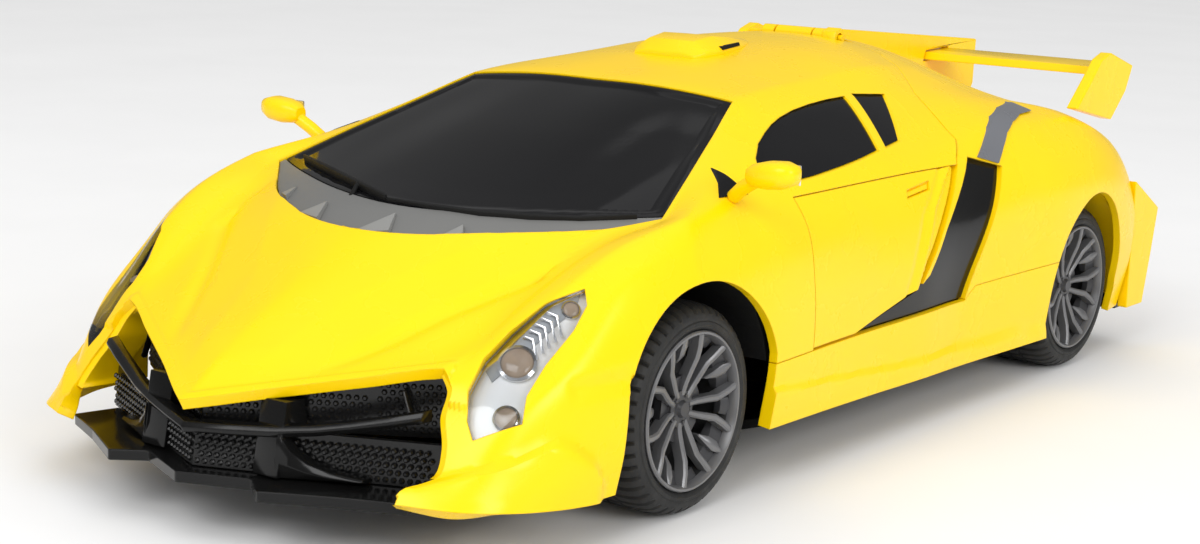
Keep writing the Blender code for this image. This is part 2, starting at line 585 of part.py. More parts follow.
def build_rear_bumper():
    grille = [(-46, 108.2), (-42, 111.2), (-28, 114.6), (0, 117), (28, 114.6), (42, 111.2), (46, 108.2),
              (42, 108.2), (27, 112.4), (0, 114.8), (-27, 112.4), (-42, 108.2)]
    finish(prism(TOP_PLANE, grille, 19.5, 38), "rear_grille_panel", BLACK, roughness=0.4)
    lip = [(-50.6, 107.4), (-50.6, 113.6), (-38, 119), (0, 122.4), (38, 119), (50.6, 113.6),
           (50.6, 107.4), (36, 104), (-36, 104)]
    made = finish(prism(TOP_PLANE, lip, 8.6, 19.2), "rear_diffuser", BLACK, roughness=0.25)
    for step in range(-3, 4):
        slot = box((step * 11 - 3.6, 98, 5), (step * 11 + 3.6, 130, 14.5))
        boolean(made, slot)
    for side, word in ((1, "left"), (-1, "right")):
        inner, outer = side * 24.0, side * 41.0
        light = [(inner, 115.7), (outer, 112.2), (outer, 113.4), (inner, 117.2)]
        finish(prism(TOP_PLANE, light, 30, 35.5), f"tail_light_{word}", RED, roughness=0.15)


def build_chassis():
    half = [(0, -101), (30, -101), (33, -92), (28, -84), (28, -44), (38, -40), (38, 58), (31, 62),
            (31, 100), (33, 103), (0, 103)]
    outline = half + [(-x, y) for x, y in half[-2:0:-1]]
    tray = finish(prism(TOP_PLANE, outline, FLOOR_BOTTOM, FLOOR_TOP), "chassis_tray", BLACK, roughness=0.5)
    sill = [(37.5, FLOOR_BOTTOM + 0.1), (50.5, 9.8), (50.5, 11.4), (37.5, FLOOR_TOP - 0.1)]
    for side in (1, -1):
        boolean(tray, prism(Plane((side, 0, 0), (0, 0, 1), (0, 1, 0)), sill, -39, 57), "UNION")
    boolean(tray, box((-26, -23, 7), (26, 34, 24.4)), "UNION")
    boolean(tray, box((-22.6, -21.2, 0), (22.6, 32.2, 23)))
    boolean(tray, box((-24.4, -21, 0), (24.4, 32, FLOOR_TOP + 0.3)))
    boolean(tray, box((12.6, 40.6, 0), (15.4, 48.4, 12)))
    for side in (1, -1):
        plane = SIDE_PLANE if side > 0 else SIDE_PLANE.mirrored()
        arm = [(-71, 7), (-71, 29.6), (-58, 29.6), (-58, 26.4), (-67, 26.4), (-67, 9.4), (-58, 7)]
        boolean(tray, prism(plane, arm, 24.5, 28), "UNION")
        fork = bmesh.new()
        add_box(fork, (min(side * 25, side * 41), -67.0, 26.2), (max(side * 25, side * 41), -62.0, 27.4))
        add_box(fork, (min(side * 25, side * 41), -67.0, 8.2), (max(side * 25, side * 41), -62.0, 9.4))
        boolean(tray, fork, "UNION")
    boolean(tray, box((-27, -114, 7), (27, -100, 8.6)), "UNION")
    tower = box((-14, 37, 7), (2, 46, 41.6))
    boolean(tray, tower, "UNION")
    return tray


def build_battery_door():
    door = finish(box((-24, -20.6, FLOOR_BOTTOM), (24, 31.6, FLOOR_TOP)), "battery_door", BLACK,
                  roughness=0.5)
    boolean(door, rod((0, 27.5, 0), (0, 27.5, 6.6), 2.2, 16))


def gear_outline(teeth, module, phase, centre=(0.0, 0.0)):
    """Straight-sided teeth round a pitch circle, shallow enough to run with play."""
    pitch = teeth * module / 2
    step = 2 * math.pi / teeth
    root, tip = pitch - module, pitch + 0.6 * module
    outline = []
    for tooth in range(teeth):
        middle = phase + tooth * step
        for offset, radius in ((-0.28, root), (-0.12, tip), (0.12, tip), (0.28, root)):
            angle = middle + offset * step
            outline.append((centre[0] + radius * math.cos(angle), centre[1] + radius * math.sin(angle)))
    return outline


def build_motor(name, centre, low_x, high_x, radius, flat):
    """A round can with two flats, lying across the car."""
    body = finish(rod((low_x, *centre), (high_x, *centre), radius, 24), name, STEEL, 0.3, 0.9)
    flats = bmesh.new()
    front, back = centre[0] - 12, centre[0] + 12
    for low, high in ((flat, flat + 7), (-flat - 7, -flat)):
        add_box(flats, (low_x - 3, front, centre[1] + low), (high_x + 3, back, centre[1] + high))
    boolean(body, flats)


def build_drive():
    """Motor pinion to compound gear to the gear on the rear axle."""
    motor_side = math.atan2(MOTOR_AT[1] - COMPOUND_AT[1], MOTOR_AT[0] - COMPOUND_AT[0])
    axle_side = math.atan2(AXLE_Z - COMPOUND_AT[1], REAR_AXLE_Y - COMPOUND_AT[0])
    build_motor("drive_motor", MOTOR_AT, -20, 3, 9.6, 7.4)
    teeth = gear_outline(PINION_TEETH, GEAR_MODULE, motor_side + math.pi, MOTOR_AT)
    finish(prism(SIDE_PLANE, teeth, 3.6, 8.2), "motor_pinion", STEEL, 0.3, 0.8, hang="motor_axis")
    teeth = gear_outline(COMPOUND_TEETH, GEAR_MODULE, motor_side + math.pi / COMPOUND_TEETH, COMPOUND_AT)
    gear = finish(prism(SIDE_PLANE, teeth, 4.6, 7.6), "compound_gear", CLEAR, hang="compound_axis")
    teeth = gear_outline(PINION_TEETH, GEAR_MODULE, axle_side, COMPOUND_AT)
    boolean(gear, prism(SIDE_PLANE, teeth, 7.0, 12.0), "UNION")
    phase = axle_side + math.pi + math.pi / AXLE_TEETH
    teeth = gear_outline(AXLE_TEETH, GEAR_MODULE, phase, (REAR_AXLE_Y, AXLE_Z))
    drive = finish(prism(SIDE_PLANE, teeth, 8.2, 11.6), "rear_axle", STEEL, hang="rear_axle_axis")
    half_axle = 46.4
    shaft = rod((-half_axle, REAR_AXLE_Y, AXLE_Z), (half_axle, REAR_AXLE_Y, AXLE_Z), AXLE_RADIUS, 16)
    boolean(drive, shaft, "UNION")


def build_lift():
    """A toothed sector under the roof, driven by a pinion on the lift motor."""
    hinge = (HINGE[1], HINGE[2])
    step = 2 * math.pi / SECTOR_TEETH
    root = (SECTOR_TEETH / 2 - 1) * LIFT_MODULE
    tip = (SECTOR_TEETH / 2 + 0.6) * LIFT_MODULE
    boss = 2.2
    outline = [(hinge[0] + boss * math.cos(math.radians(a)), hinge[1] + boss * math.sin(math.radians(a)))
               for a in (-55, 15, 80, 140, 195)]
    outline += [(45.0, 66.6), (26.0, 65.6), (26.0, 63.0), (42.0, 63.0)]
    for tooth in range(-1, 9):
        middle = LIFT_CONTACT + tooth * step
        for offset, radius in ((-0.28, root), (-0.12, tip), (0.12, tip), (0.28, root)):
            angle = middle + offset * step
            outline.append((hinge[0] + radius * math.cos(angle), hinge[1] + radius * math.sin(angle)))
    sector = finish(prism(SIDE_PLANE, outline, 7.4, 10.6), "shell_hinge_arm", GREY, hang="shell_axis")
    strap = [(47.2, 67.6), (45.0, 66.6), (26, 65.6), (26, 63.6), (46.6, 65.2)]
    for low, high in ((4.8, 7.8), (-7.8, -4.8)):
        boolean(sector, prism(SIDE_PLANE, ring_outline(hinge, 1.9), low, high), "UNION")
        boolean(sector, prism(SIDE_PLANE, strap, low, high), "UNION")
    boolean(sector, box((-7.6, 26.2, 63.8), (10, 31, 65.4)), "UNION")
    boolean(sector, rod((-14, *hinge), (14, *hinge), 1.15, 14))
    teeth = gear_outline(PINION_TEETH, LIFT_MODULE, LIFT_CONTACT + math.pi + math.pi / PINION_TEETH, LIFT_AT)
    finish(prism(SIDE_PLANE, teeth, 7.6, 11.6), "lift_pinion", STEEL, 0.3, 0.8, hang="lift_axis")
    build_motor("lift_motor", LIFT_AT, -16, 7, 9.0, 7.6)


def ring_outline(centre, radius, sides=14):
    return [(centre[0] + radius * math.cos(2 * math.pi * k / sides),
             centre[1] + radius * math.sin(2 * math.pi * k / sides)) for k in range(sides)]


def build_hinge():
    hinge = (HINGE[1], HINGE[2])
    bracket = finish(prism(SIDE_PLANE, ring_outline(hinge, 1.9), -4.4, 4.4), "hinge_bracket", YELLOW,
                     roughness=0.2)
    leaf = [(47.2, 67.7), (60, 64.6), (60, 63.2), (46.4, 66.6)]
    boolean(bracket, prism(SIDE_PLANE, leaf, -4.4, 4.4), "UNION")
    boolean(bracket, rod((-11.4, *hinge), (11.4, *hinge), 0.8, 12), "UNION")


def build_robot():
    torso = [(-84, 20), (-84, 33.5), (-62, 41.5), (-30, 47.5), (-23, 47.5), (-23, 25), (-44, 17)]
    body = finish(prism(SIDE_PLANE, torso, -23, 23), "robot_torso", GREY, hang="shell_axis")
    boolean(body, box((-9.4, -90, 10), (9.4, -70, 60)))
    shoulders = bmesh.new()
    for side in (1, -1):
        add_box(shoulders, (min(side * 21, side * 36), -42, 24), (max(side * 21, side * 36), -25, 44))
    boolean(body, shoulders, "UNION")
    boolean(body, box((-8, -31, 46), (8, -24.5, 59.4)), "UNION")
    plate = [(-16, -82), (16, -82), (22, -70), (16, -46), (6, -38), (-6, -38), (-16, -46), (-22, -70)]
    chest = finish(prism(TOP_PLANE, plate, 12.6, 16.6), "robot_chest_plate", YELLOW, roughness=0.2,
                   hang="shell_axis")
    boolean(chest, box((-9.6, -90, 10), (9.6, -68, 20)))
    head = finish(box((-7.6, -93, 15.4), (7.6, -77, 28.4)), "robot_head", GREY, hang="head_axis")
    brow = bmesh.new()
    add_box(brow, (-5.8, -88, 14.6), (5.8, -85.4, 16.2))
    add_box(brow, (-9.0, -88, 19), (9.0, -82, 26))
    boolean(head, brow, "UNION")
    boolean(head, box((-5.2, -92.4, 14), (5.2, -89.2, 16.4)))
    neck = rod((0, -77.6, 23.5), (0, -70.4, 23.5), 3.2, 14)
    boolean(head, neck, "UNION")


def lathe(profile, name, colour, centre, hang, sides=28, **look):
    """A closed ring profile of (x, radius) pairs, turned round the axle with a Screw modifier."""
    bm = bmesh.new()
    verts = [bm.verts.new((x, centre[1], centre[2] + radius)) for x, radius in profile]
    for k in range(len(verts)):
        bm.edges.new((verts[k], verts[(k + 1) % len(verts)]))
    thing = finish(bm, name, colour, hang=hang, recalc=False, **look)
    turn = thing.modifiers.new("turn", "SCREW")
    turn.axis = "X"
    turn.steps = sides
    turn.render_steps = sides
    turn.use_merge_vertices = True
    turn.merge_threshold = 0.00001
    turn.use_normal_calculate = True
    return thing


def build_wheels():
    inner = WHEEL_OUTER_X - TYRE_WIDTH
    for y, word in ((FRONT_AXLE_Y, "front"), (REAR_AXLE_Y, "rear")):
        for side, hand in ((1, "left"), (-1, "right")):
            centre = (side * 43.0, y, AXLE_Z)
            hang = f"wheel_front_{hand}_axis" if word == "front" else "rear_axle_axis"
            tread = [(inner, 14.2), (inner, 16.2), (inner + 1.6, 17.3), (inner + 3.6, TYRE_RADIUS),
                     (WHEEL_OUTER_X - 3.2, TYRE_RADIUS), (WHEEL_OUTER_X - 1.2, 17.2),
                     (WHEEL_OUTER_X, 16.2), (WHEEL_OUTER_X - 0.2, 14.2), (WHEEL_OUTER_X - 0.9, 13.4),
                     (inner + 1.2, 13.4)]
            lathe([(side * x, r) for x, r in tread], f"tyre_{word}_{hand}", BLACK, centre, hang,
                  roughness=0.8)
            build_rim(f"rim_{word}_{hand}", centre, side, hang)


def build_rim(name, centre, side, hang):
    """A barrel, a five-spoke face cut out of a disc, and a hub boss with a blind bore."""
    y, z = centre[1], centre[2]
    barrel = [(36.4, RIM_RADIUS), (36.4, 11.9), (WHEEL_OUTER_X - 0.4, 11.9), (WHEEL_OUTER_X, 12.4),
              (WHEEL_OUTER_X - 0.1, RIM_RADIUS)]
    rim = lathe([(side * x, r) for x, r in barrel], name, GUNMETAL, centre, hang, roughness=0.35,
                metallic=0.7)
    face = bmesh.new()
    add_rod(face, (side * 49.4, y, z), (side * 51.4, y, z), 12.3, 30)
    boolean(rim, face, "UNION")
    windows = bmesh.new()
    plane = SIDE_PLANE if side > 0 else SIDE_PLANE.mirrored()
    for spoke in range(5):
        middle = math.pi / 2 + spoke * 2 * math.pi / 5
        for outline in (((-0.17, 11.2), (0.17, 11.2), (0.0, 7.0)),
                        ((-0.36, 5.2), (-0.27, 11.2), (0.27, 11.2), (0.36, 5.2))):
            turned = middle + (math.pi / 5 if len(outline) == 4 else 0.0)
            shape = [(y + r * math.cos(turned + a), z + r * math.sin(turned + a)) for a, r in outline]
            add_prism(windows, plane, shape, 47, 56)
    boolean(rim, windows)
    boolean(rim, rod((side * 42.6, y, z), (side * 50.2, y, z), 3.4, 16), "UNION")
    boolean(rim, rod((side * 40, y, z), (side * 47.4, y, z), AXLE_RADIUS + 0.3, 16))


def build_steering():
    for side, word in ((1, "left"), (-1, "right")):
        hang = f"steer_{word}_axis"
        low_x, high_x = sorted((side * 36.4, side * 41.6))
        block = finish(box((low_x, -68, 12.4), (high_x, -61, 22.9)), f"steering_knuckle_{word}", GREY,
                       hang=hang)
        y, z = FRONT_AXLE_Y, AXLE_Z
        boolean(block, rod((side * 41, y, z), (side * 46.6, y, z), AXLE_RADIUS, 14), "UNION")
        pins = bmesh.new()
        add_rod(pins, (side * KINGPIN_X, y, 9.8), (side * KINGPIN_X, y, 13), 1.2, 12)
        add_rod(pins, (side * KINGPIN_X, y, 22), (side * KINGPIN_X, y, 25.8), 1.2, 12)
        boolean(block, pins, "UNION")


def build_switch():
    """A plate that slides on the floor, with a knob that passes down through the slot."""
    knob = finish(box((11, 40, 7.9), (17, 44.6, 8.9)), "power_switch", BLACK, hang="switch_axis")
    boolean(knob, box((13, 41.2, 4.6), (15, 43.6, 8.4)), "UNION")


def set_axes():
    axis("shell_axis", HINGE)
    for side, word in ((1, "left"), (-1, "right")):
        axis(f"door_{word}_axis", (side * DOOR_HINGE[0], DOOR_HINGE[1], DOOR_HINGE[2]), "shell_axis")
        axis(f"elbow_{word}_axis", (side * ELBOW[0], ELBOW[1], ELBOW[2]), f"door_{word}_axis")
        axis(f"steer_{word}_axis", (side * KINGPIN_X, FRONT_AXLE_Y, AXLE_Z))
        axis(f"wheel_front_{word}_axis", (side * 43.0, FRONT_AXLE_Y, AXLE_Z), f"steer_{word}_axis")
    axis("head_axis", (0, -85, 23.5), "shell_axis")
    axis("rear_axle_axis", (0, REAR_AXLE_Y, AXLE_Z))
    axis("motor_axis", (0, *MOTOR_AT))
    axis("compound_axis", (0, *COMPOUND_AT))
    axis("lift_axis", (0, *LIFT_AT))
    axis("switch_axis", (14, 43, 6.5))


def main():
    clear_scene()
    set_axes()
    build_front_shell()
    build_glazing()
    build_doors()
    build_mirrors()
    build_roof_scoop()
    build_rear_body()
    build_side_trim()
    build_wing()
    build_front_bumper()
    build_rear_bumper()
    build_chassis()
    build_battery_door()
    build_drive()
    build_lift()
    build_hinge()
    build_robot()
    build_wheels()
    build_steering()
    build_switch()


main()
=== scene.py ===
"""Looks of a transforming robot car: its skin panels, glazing, lamps, wheels, trim and plastics.

Lengths are millimetres in the car's own frame, nose towards -Y, +X at its left side and the
ground at z = 0. They become metres when a piece is finished.
"""
import json
import math

import bmesh
import bpy
from mathutils import Matrix, Vector


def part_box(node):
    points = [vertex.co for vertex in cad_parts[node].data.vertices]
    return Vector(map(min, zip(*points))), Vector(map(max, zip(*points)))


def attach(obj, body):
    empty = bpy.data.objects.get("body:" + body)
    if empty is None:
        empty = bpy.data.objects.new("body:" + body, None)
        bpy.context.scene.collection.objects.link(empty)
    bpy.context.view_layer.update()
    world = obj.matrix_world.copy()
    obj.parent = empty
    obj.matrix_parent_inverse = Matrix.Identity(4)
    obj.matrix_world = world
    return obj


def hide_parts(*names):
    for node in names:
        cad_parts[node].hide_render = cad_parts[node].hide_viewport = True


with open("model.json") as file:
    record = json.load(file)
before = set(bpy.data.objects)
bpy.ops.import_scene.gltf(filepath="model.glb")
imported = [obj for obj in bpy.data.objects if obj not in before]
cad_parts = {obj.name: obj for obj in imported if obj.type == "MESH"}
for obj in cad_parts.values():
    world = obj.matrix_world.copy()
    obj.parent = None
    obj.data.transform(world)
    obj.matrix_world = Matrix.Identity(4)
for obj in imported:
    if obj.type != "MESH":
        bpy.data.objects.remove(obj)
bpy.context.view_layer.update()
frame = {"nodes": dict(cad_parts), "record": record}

MM = 0.001
SKIN = 1.6
GAP = 0.15
# Height of the axles, which is also the radius of a tyre.
AXLE_Z = 17.64
FRONT_AXLE_Y = -64.5
REAR_AXLE_Y = 80.5
# Material indices on a panel while it is trimmed: its outside, and everything else.
OUTER_FACE = 0
CUT_FACE = 1
# Edges longer than this, in front of this y, are split before a relief is pressed in.
FINE_EDGE = 1.3
FINE_BEFORE = -58
SIDES = ((1, "left"), (-1, "right"))
RECORD_SLOTS = {row["node"]: row["material_slot"] for row in frame["record"]["subparts"]}
BODY_OF = {node: body for body, nodes in frame["record"]["behaviour"]["bodies"].items() for node in nodes}

# Outer skin of the body: half sections from the nose to the tail, centre line to lower edge.
BODY_SECTIONS = [
    [(0, -127, 21.5), (12, -119.5, 24), (24, -112.5, 26.5), (35, -106, 28.5), (37.2, -106.6, 26),
     (37.9, -108.9, 22.5), (40, -110.9, 18.5), (40.8, -113, 15.3), (37, -118.3, 12), (37, -119, 10.8)],
    [(0, -120, 25), (12.5, -113, 27.3), (25, -106, 29.5), (36.5, -99.5, 31.5), (40, -101.5, 30),
     (42.5, -105, 25.5), (43.5, -108.5, 20), (44, -111.5, 15), (44.5, -114, 11.6), (45, -115, 10.2)],
    [(0, -108, 32), (13, -102, 33.2), (26, -96, 35), (38, -91, 36.4), (44, -91.5, 38.5),
     (47.2, -93.8, 33.3), (49.5, -100, 26), (50.5, -102, 18), (51.2, -103, 12), (51.2, -103, 9.6)],
    [(0, -97, 38.2), (13.5, -93, 38.8), (27, -86, 40.5), (40, -78, 42.5), (46.5, -78.5, 45.2),
     (50.5, -82, 41), (53, -85, 33), (54.2, -87, 24), (54.6, -88, 15), (54, -88, 9)],
    [(0, -89, 42.9), (15, -85.5, 43.4), (30, -76.5, 45), (44, -62.6, 47.9), (49, -64, 48.8),
     (52, -66, 45), (54, -67, 39.5), (55.2, -67, 31), (55.2, -66, 20), (54, -66, 11.4)],
    [(0, -68, 50), (14, -66, 50.2), (27.5, -59, 51.2), (39.5, -49, 53.2), (44.5, -49, 52),
     (48.5, -47, 48.8), (52.5, -46, 44), (54.8, -45, 34), (55.2, -44, 21), (54, -44, 11.2)],
    [(0, -45, 58.2), (12, -43.5, 58.3), (24, -39.5, 58.2), (34.8, -35, 58.4), (41, -32, 56.2),
     (48, -28, 50), (52, -27, 44), (54, -26, 34), (54.2, -26, 20), (53.5, -26, 10.8)],
    [(0, -23.5, 64.8), (10.5, -23.3, 64.8), (21, -23, 64.2), (30.5, -22.6, 63.1), (37, -17, 60),
     (47.3, -10, 50.8), (51, -9, 45), (53.4, -8, 35), (53.6, -8, 20), (53.2, -8, 10.4)],
    [(0, 8, 68.6), (10, 8, 68.4), (20.5, 8, 67.2), (29, 8, 65.2), (35.5, 9, 61.8),
     (46, 12, 52), (50.5, 12, 46.5), (53.5, 12, 36), (53.5, 12, 22), (53.2, 12, 10)],
    [(0, 30, 70), (10, 30, 69.7), (20, 30, 68.3), (28, 30, 66), (34, 31, 62),
     (43.5, 30, 54.5), (49, 28, 50), (53, 26, 38), (53, 26, 24), (53, 26, 9.8)],
    [(0, 50, 69.6), (9.5, 50, 69.1), (18, 50, 67.4), (25.5, 50, 64.6), (32, 50, 61.2),
     (41, 51, 57.6), (47, 52, 55), (54, 50, 44), (54.5, 50, 27), (53.5, 50, 9.6)],
    [(0, 68, 66.2), (9, 68, 65.8), (17, 68, 64), (25, 68, 61.3), (34, 68, 58.4),
     (42, 68, 57), (48.5, 68, 54), (55.5, 66, 44), (56, 66, 28), (54, 66, 9.6)],
    [(0, 88, 58.3), (9, 88, 58), (18, 88, 56.8), (27, 88, 55.3), (36, 88, 54.3),
     (43.5, 88, 53.8), (49.5, 88, 51.5), (55.5, 86, 42), (56, 86, 28), (54, 86, 9.6)],
    [(0, 106, 50), (9, 106, 49.8), (18, 106, 49.2), (28, 106, 48.6), (37, 105, 48.5),
     (44, 104, 48), (49.5, 103, 45.5), (54, 102, 37), (54.5, 102, 24), (52, 102, 9.6)],
    [(0, 120, 44.5), (9, 119.8, 44.3), (18, 119, 44), (28, 117.5, 43.5), (37, 115.5, 42.6),
     (44, 113.5, 41.4), (49, 112, 38.5), (52.5, 111, 31), (52.5, 112, 20), (50, 113, 9.6)],
]
LINE_FOLD = [0.0, 0.0, 0.0, 0.75, 0.35, 0.3, 0.1, 0.0, 0.2, 0.0]
NOSE_FOLD = [0.85, 0.7, 0.45, 0.2]
SECTION_FOLD = [0.0] * len(BODY_SECTIONS)
SECTION_FOLD[4] = 0.55
SECTION_FOLD[7] = 0.55
LAST_LINE = len(LINE_FOLD) - 1

# Outlines on the side of the car, as (y, z).
SHELL_SIDE = [(-140, -5), (-140, 95), (46.4, 95), (46.4, 67), (36, 61), (33.2, 53), (28.6, 50.2),
              (7.4, 27.6), (-15.5, 22.6), (-64, 22.6), (-64, -5)]
REAR_SIDE = [(-150, -15), (-150, 105), (46.7, 105), (46.7, 66.8), (36.3, 60.8), (33.5, 52.8),
             (28.9, 50), (7.6, 27.3), (-15.5, 22.3), (-54, 22.3), (-54, -15)]
SKIRT_SIDE = [(-60, -5), (-60, 22.45), (28, 22.45), (32, 24.85), (66, 25.65), (66, -5)]
DOOR_SIDE = [(-31, 48.6), (26.2, 48.8), (6.6, 27.9), (-15.8, 23), (-31, 23)]
DOOR_HOLE = [(-31.2, 48.78), (34, 48.98), (34, 15), (-31.2, 15)]
DOOR_HANDLE = [(5.6, 44.7), (6.4, 46.2), (15.4, 47.1), (14.6, 45.5)]
DOOR_WINDOW = [(-36.4, 50.9), (-35.6, 53.1), (-33.5, 55), (-29.5, 56.9), (-25, 58.3), (-21, 59.4),
               (-17, 60.25), (-11, 61.1), (-5, 61.65), (2, 62.05), (8.8, 62.2), (5.2, 53.1), (-1.5, 52.4),
               (-9, 51.8), (-20, 51.1), (-31, 50.7)]
QUARTER_WINDOW = [(11.8, 62.4), (23.5, 61.6), (15, 54), (8, 53.3)]
FRONT_TRIANGLE = [(-50.8, 50.5), (-44.4, 54.2), (-42.8, 50.3)]
INTAKE_SIDE = [(32.4, 50), (43, 47.4), (37.6, 38.5), (28.2, 22.9), (-12.5, 22.9), (8.2, 27.2),
               (11.5, 29.6), (18.4, 37.5)]
INTAKE_HOLE = [(32.4, 50), (43, 47.4), (37.6, 38.5), (28.2, 22.9), (28.2, 15), (-20, 15), (-20, 26),
               (9, 28.6), (11.5, 29.9), (18.4, 37.5)]
QUARTER_STRIP = [(35.6, 49.7), (41.6, 48.1), (45.5, 50.9), (49.5, 53.3), (54.5, 55), (60.6, 56),
                 (68, 56.1), (66, 57.6), (57.7, 57.2), (50, 56.1), (45, 54.5), (40.5, 52.3)]
TAIL_CUT = [(106.6, -5), (106.6, 38.6), (112, 39.4), (130, 39.4), (130, -5)]
# Creases and ledges pressed into the panels: height or width along the car.
NOSE_EDGE = [(0, -127), (12, -119.5), (24, -112.5), (35, -106)]
BONNET_OUTER = [(-118.5, 12.7), (-108, 18.5), (-96.8, 25), (-77.7, 38.4), (-60, 44)]
BONNET_INNER = [(-118.1, 6.5), (-109.3, 8.1), (-99.7, 11), (-85.3, 22.2), (-67.6, 32.7)]
FOOT_TOP = [(-116, 13.4), (-113.4, 14.4), (-109.6, 16), (-104.9, 17.3), (-101.8, 18.7), (-99.5, 19.4),
            (-96.4, 17.8), (-92.8, 14.9), (-91.2, 12.4)]
CREST = [(-113, 36), (-106, 38), (-91, 39.5), (-78, 41.5), (-63, 44.5)]
DOOR_CREASE = [(26.7, 6.1), (34, 10.2), (41.8, 14.8), (46, 20), (49.9, 26.4)]
DOOR_LINE = [(27.1, 3.3), (34.5, 6.6), (41.3, 10.6), (49.3, 21.6)]
SKIRT_LEDGE = [(-60, 19.8), (-46.7, 18.6), (4.5, 14.3), (48.5, 13.5), (63, 11.6)]
# Outlines on slanted panels, as points of the skin.
SCREEN_FOOT = [(0, -89, 42.9), (15, -85.5, 43.4), (30, -76.5, 45), (43.6, -62.8, 47.9)]
SCREEN_SIDE = [(39.2, -49, 53.2), (34.5, -35, 58.4), (30.3, -23, 63), (0, -24, 64.7)]
COWL_EDGE = [(0, -78, 46.7), (15, -75.4, 47), (30, -69, 47.4), (43.2, -61.6, 48.4)]
HEADLIGHT_EDGE = [(46.9, -87.4, 40.5), (48.6, -89, 38.6), (48.9, -92.6, 35.4), (48, -98, 30.8),
                  (47.6, -101.8, 26.3), (48.3, -103.5, 22.3), (43.2, -108.8, 19.9),
                  (41.3, -107.9, 22.3), (39.6, -105.5, 26), (39.4, -101.5, 30), (40.6, -97, 33.6),
                  (43.4, -92.4, 38.2)]
CURVE_PARTS = 6
GLASS_REACH = (50, 95)
LAMP_REACH = (95, 125)


# ---------------------------------------------------------------- drawing and mesh helpers

class Plane:
    """A drawing plane: outline coordinates run along a and b, and prisms along n."""

    def __init__(self, a, b, n):
        self.a = Vector(a).normalized()
        self.b = Vector(b).normalized()
        self.n = Vector(n).normalized()

    def flat(self, point):
        point = Vector(point)
        return point.dot(self.a), point.dot(self.b)

    def space(self, pair, reach):
        return self.a * pair[0] + self.b * pair[1] + self.n * reach

    def mirrored(self):
        return Plane(*[Vector((-v.x, v.y, v.z)) for v in (self.a, self.b, self.n)])


SIDE_PLANE = Plane((0, 1, 0), (0, 0, 1), (1, 0, 0))
TOP_PLANE = Plane((1, 0, 0), (0, 1, 0), (0, 0, 1))
GLASS_PLANE = Plane((1, 0, 0), (0, 0.948, 0.317), (0, -0.317, 0.948))
LAMP_PLANE = Plane((0.848, 0.53, 0), (-0.281, 0.449, 0.849), (0.45, -0.72, 0.53))


def sided(plane, side):
    return plane if side > 0 else plane.mirrored()


def clamp(value):
    return min(max(value, 0.0), 1.0)


def ease(value):
    value = clamp(value)
    return value * value * (3 - 2 * value)


def along_line(line, at):
    """Height of a chain of (place, height) points, flat beyond its ends."""
    if at <= line[0][0]:
        return line[0][1]
    for (a, low), (b, high) in zip(line, line[1:]):
        if at <= b:
            return low + (high - low) * (at - a) / (b - a)
    return line[-1][1]


def eased_chain(points, parts):
    """Extra points on a smooth curve through a chain of flat points."""
    chain = []
    for k in range(len(points) - 1):
        before, after = points[max(k - 1, 0)], points[min(k + 2, len(points) - 1)]
        here, there = points[k], points[k + 1]
        for part in range(parts):
            f = part / parts
            weights = (-0.5 * f + f * f - 0.5 * f ** 3, 1 - 2.5 * f * f + 1.5 * f ** 3,
                       0.5 * f + 2 * f * f - 1.5 * f ** 3, -0.5 * f * f + 0.5 * f ** 3)
            chain.append(tuple(sum(w * p[axis] for w, p in zip(weights, (before, here, there, after)))
                               for axis in (0, 1)))
    return chain + [points[-1]]


def prism(plane, outline, low, high):
    """A flat outline pushed along its plane's normal."""
    bm = bmesh.new()
    face = bm.faces.new([bm.verts.new(plane.space(pair, low)) for pair in outline])
    grown = bmesh.ops.extrude_face_region(bm, geom=[face])
    tops = [item for item in grown["geom"] if isinstance(item, bmesh.types.BMVert)]
    bmesh.ops.translate(bm, vec=plane.n * (high - low), verts=tops)
    bmesh.ops.recalc_face_normals(bm, faces=bm.faces)
    return bm


def add_box(bm, low, high, turn=None):
    made = bmesh.ops.create_cube(bm, size=1.0)
    low, high = Vector(low), Vector(high)
    matrix = Matrix.Translation((low + high) / 2) @ (turn or Matrix()) @ Matrix.Diagonal((*(high - low), 1.0))
    bmesh.ops.transform(bm, matrix=matrix, verts=made["verts"])
    return bm


def add_rod(bm, start, end, radius, sides=24, end_radius=None):
    start, end = Vector(start), Vector(end)
    run = end - start
    turn = run.to_track_quat("Z", "Y").to_matrix().to_4x4()
    made = bmesh.ops.create_cone(bm, cap_ends=True, segments=sides, radius1=radius,
                                 radius2=radius if end_radius is None else end_radius,
                                 depth=run.length)
    bmesh.ops.transform(bm, matrix=Matrix.Translation((start + end) / 2) @ turn, verts=made["verts"])
    return bm


def add_loft(bm, rings):
    """A closed skin through rings of equal length, capped at both ends."""
    rows = [[bm.verts.new(point) for point in ring] for ring in rings]
    count = len(rows[0])
    for low, high in zip(rows, rows[1:]):
        for k in range(count):
            bm.faces.new((low[k], low[(k + 1) % count], high[(k + 1) % count], high[k]))
    bm.faces.new(rows[0][::-1])
    bm.faces.new(rows[-1])
    return bm


def add_turned(bm, centre, side, profile, steps, depth=None):
    """A closed profile of (x, radius) turned round the axle; depth(k, n) sinks point n at step k."""
    rows = []
    for k in range(steps):
        angle = 2 * math.pi * k / steps
        row = []
        for n, (x, radius) in enumerate(profile):
            radius -= depth(k, n) if depth else 0.0
            row.append(bm.verts.new((side * x, centre.y + radius * math.cos(angle),
                                     centre.z + radius * math.sin(angle))))
        rows.append(row)
    count = len(profile)
    for k in range(steps):
        for n in range(count):
            bm.faces.new((rows[k][n], rows[k][(n + 1) % count], rows[(k + 1) % steps][(n + 1) % count],
                          rows[(k + 1) % steps][n]))
    return bm


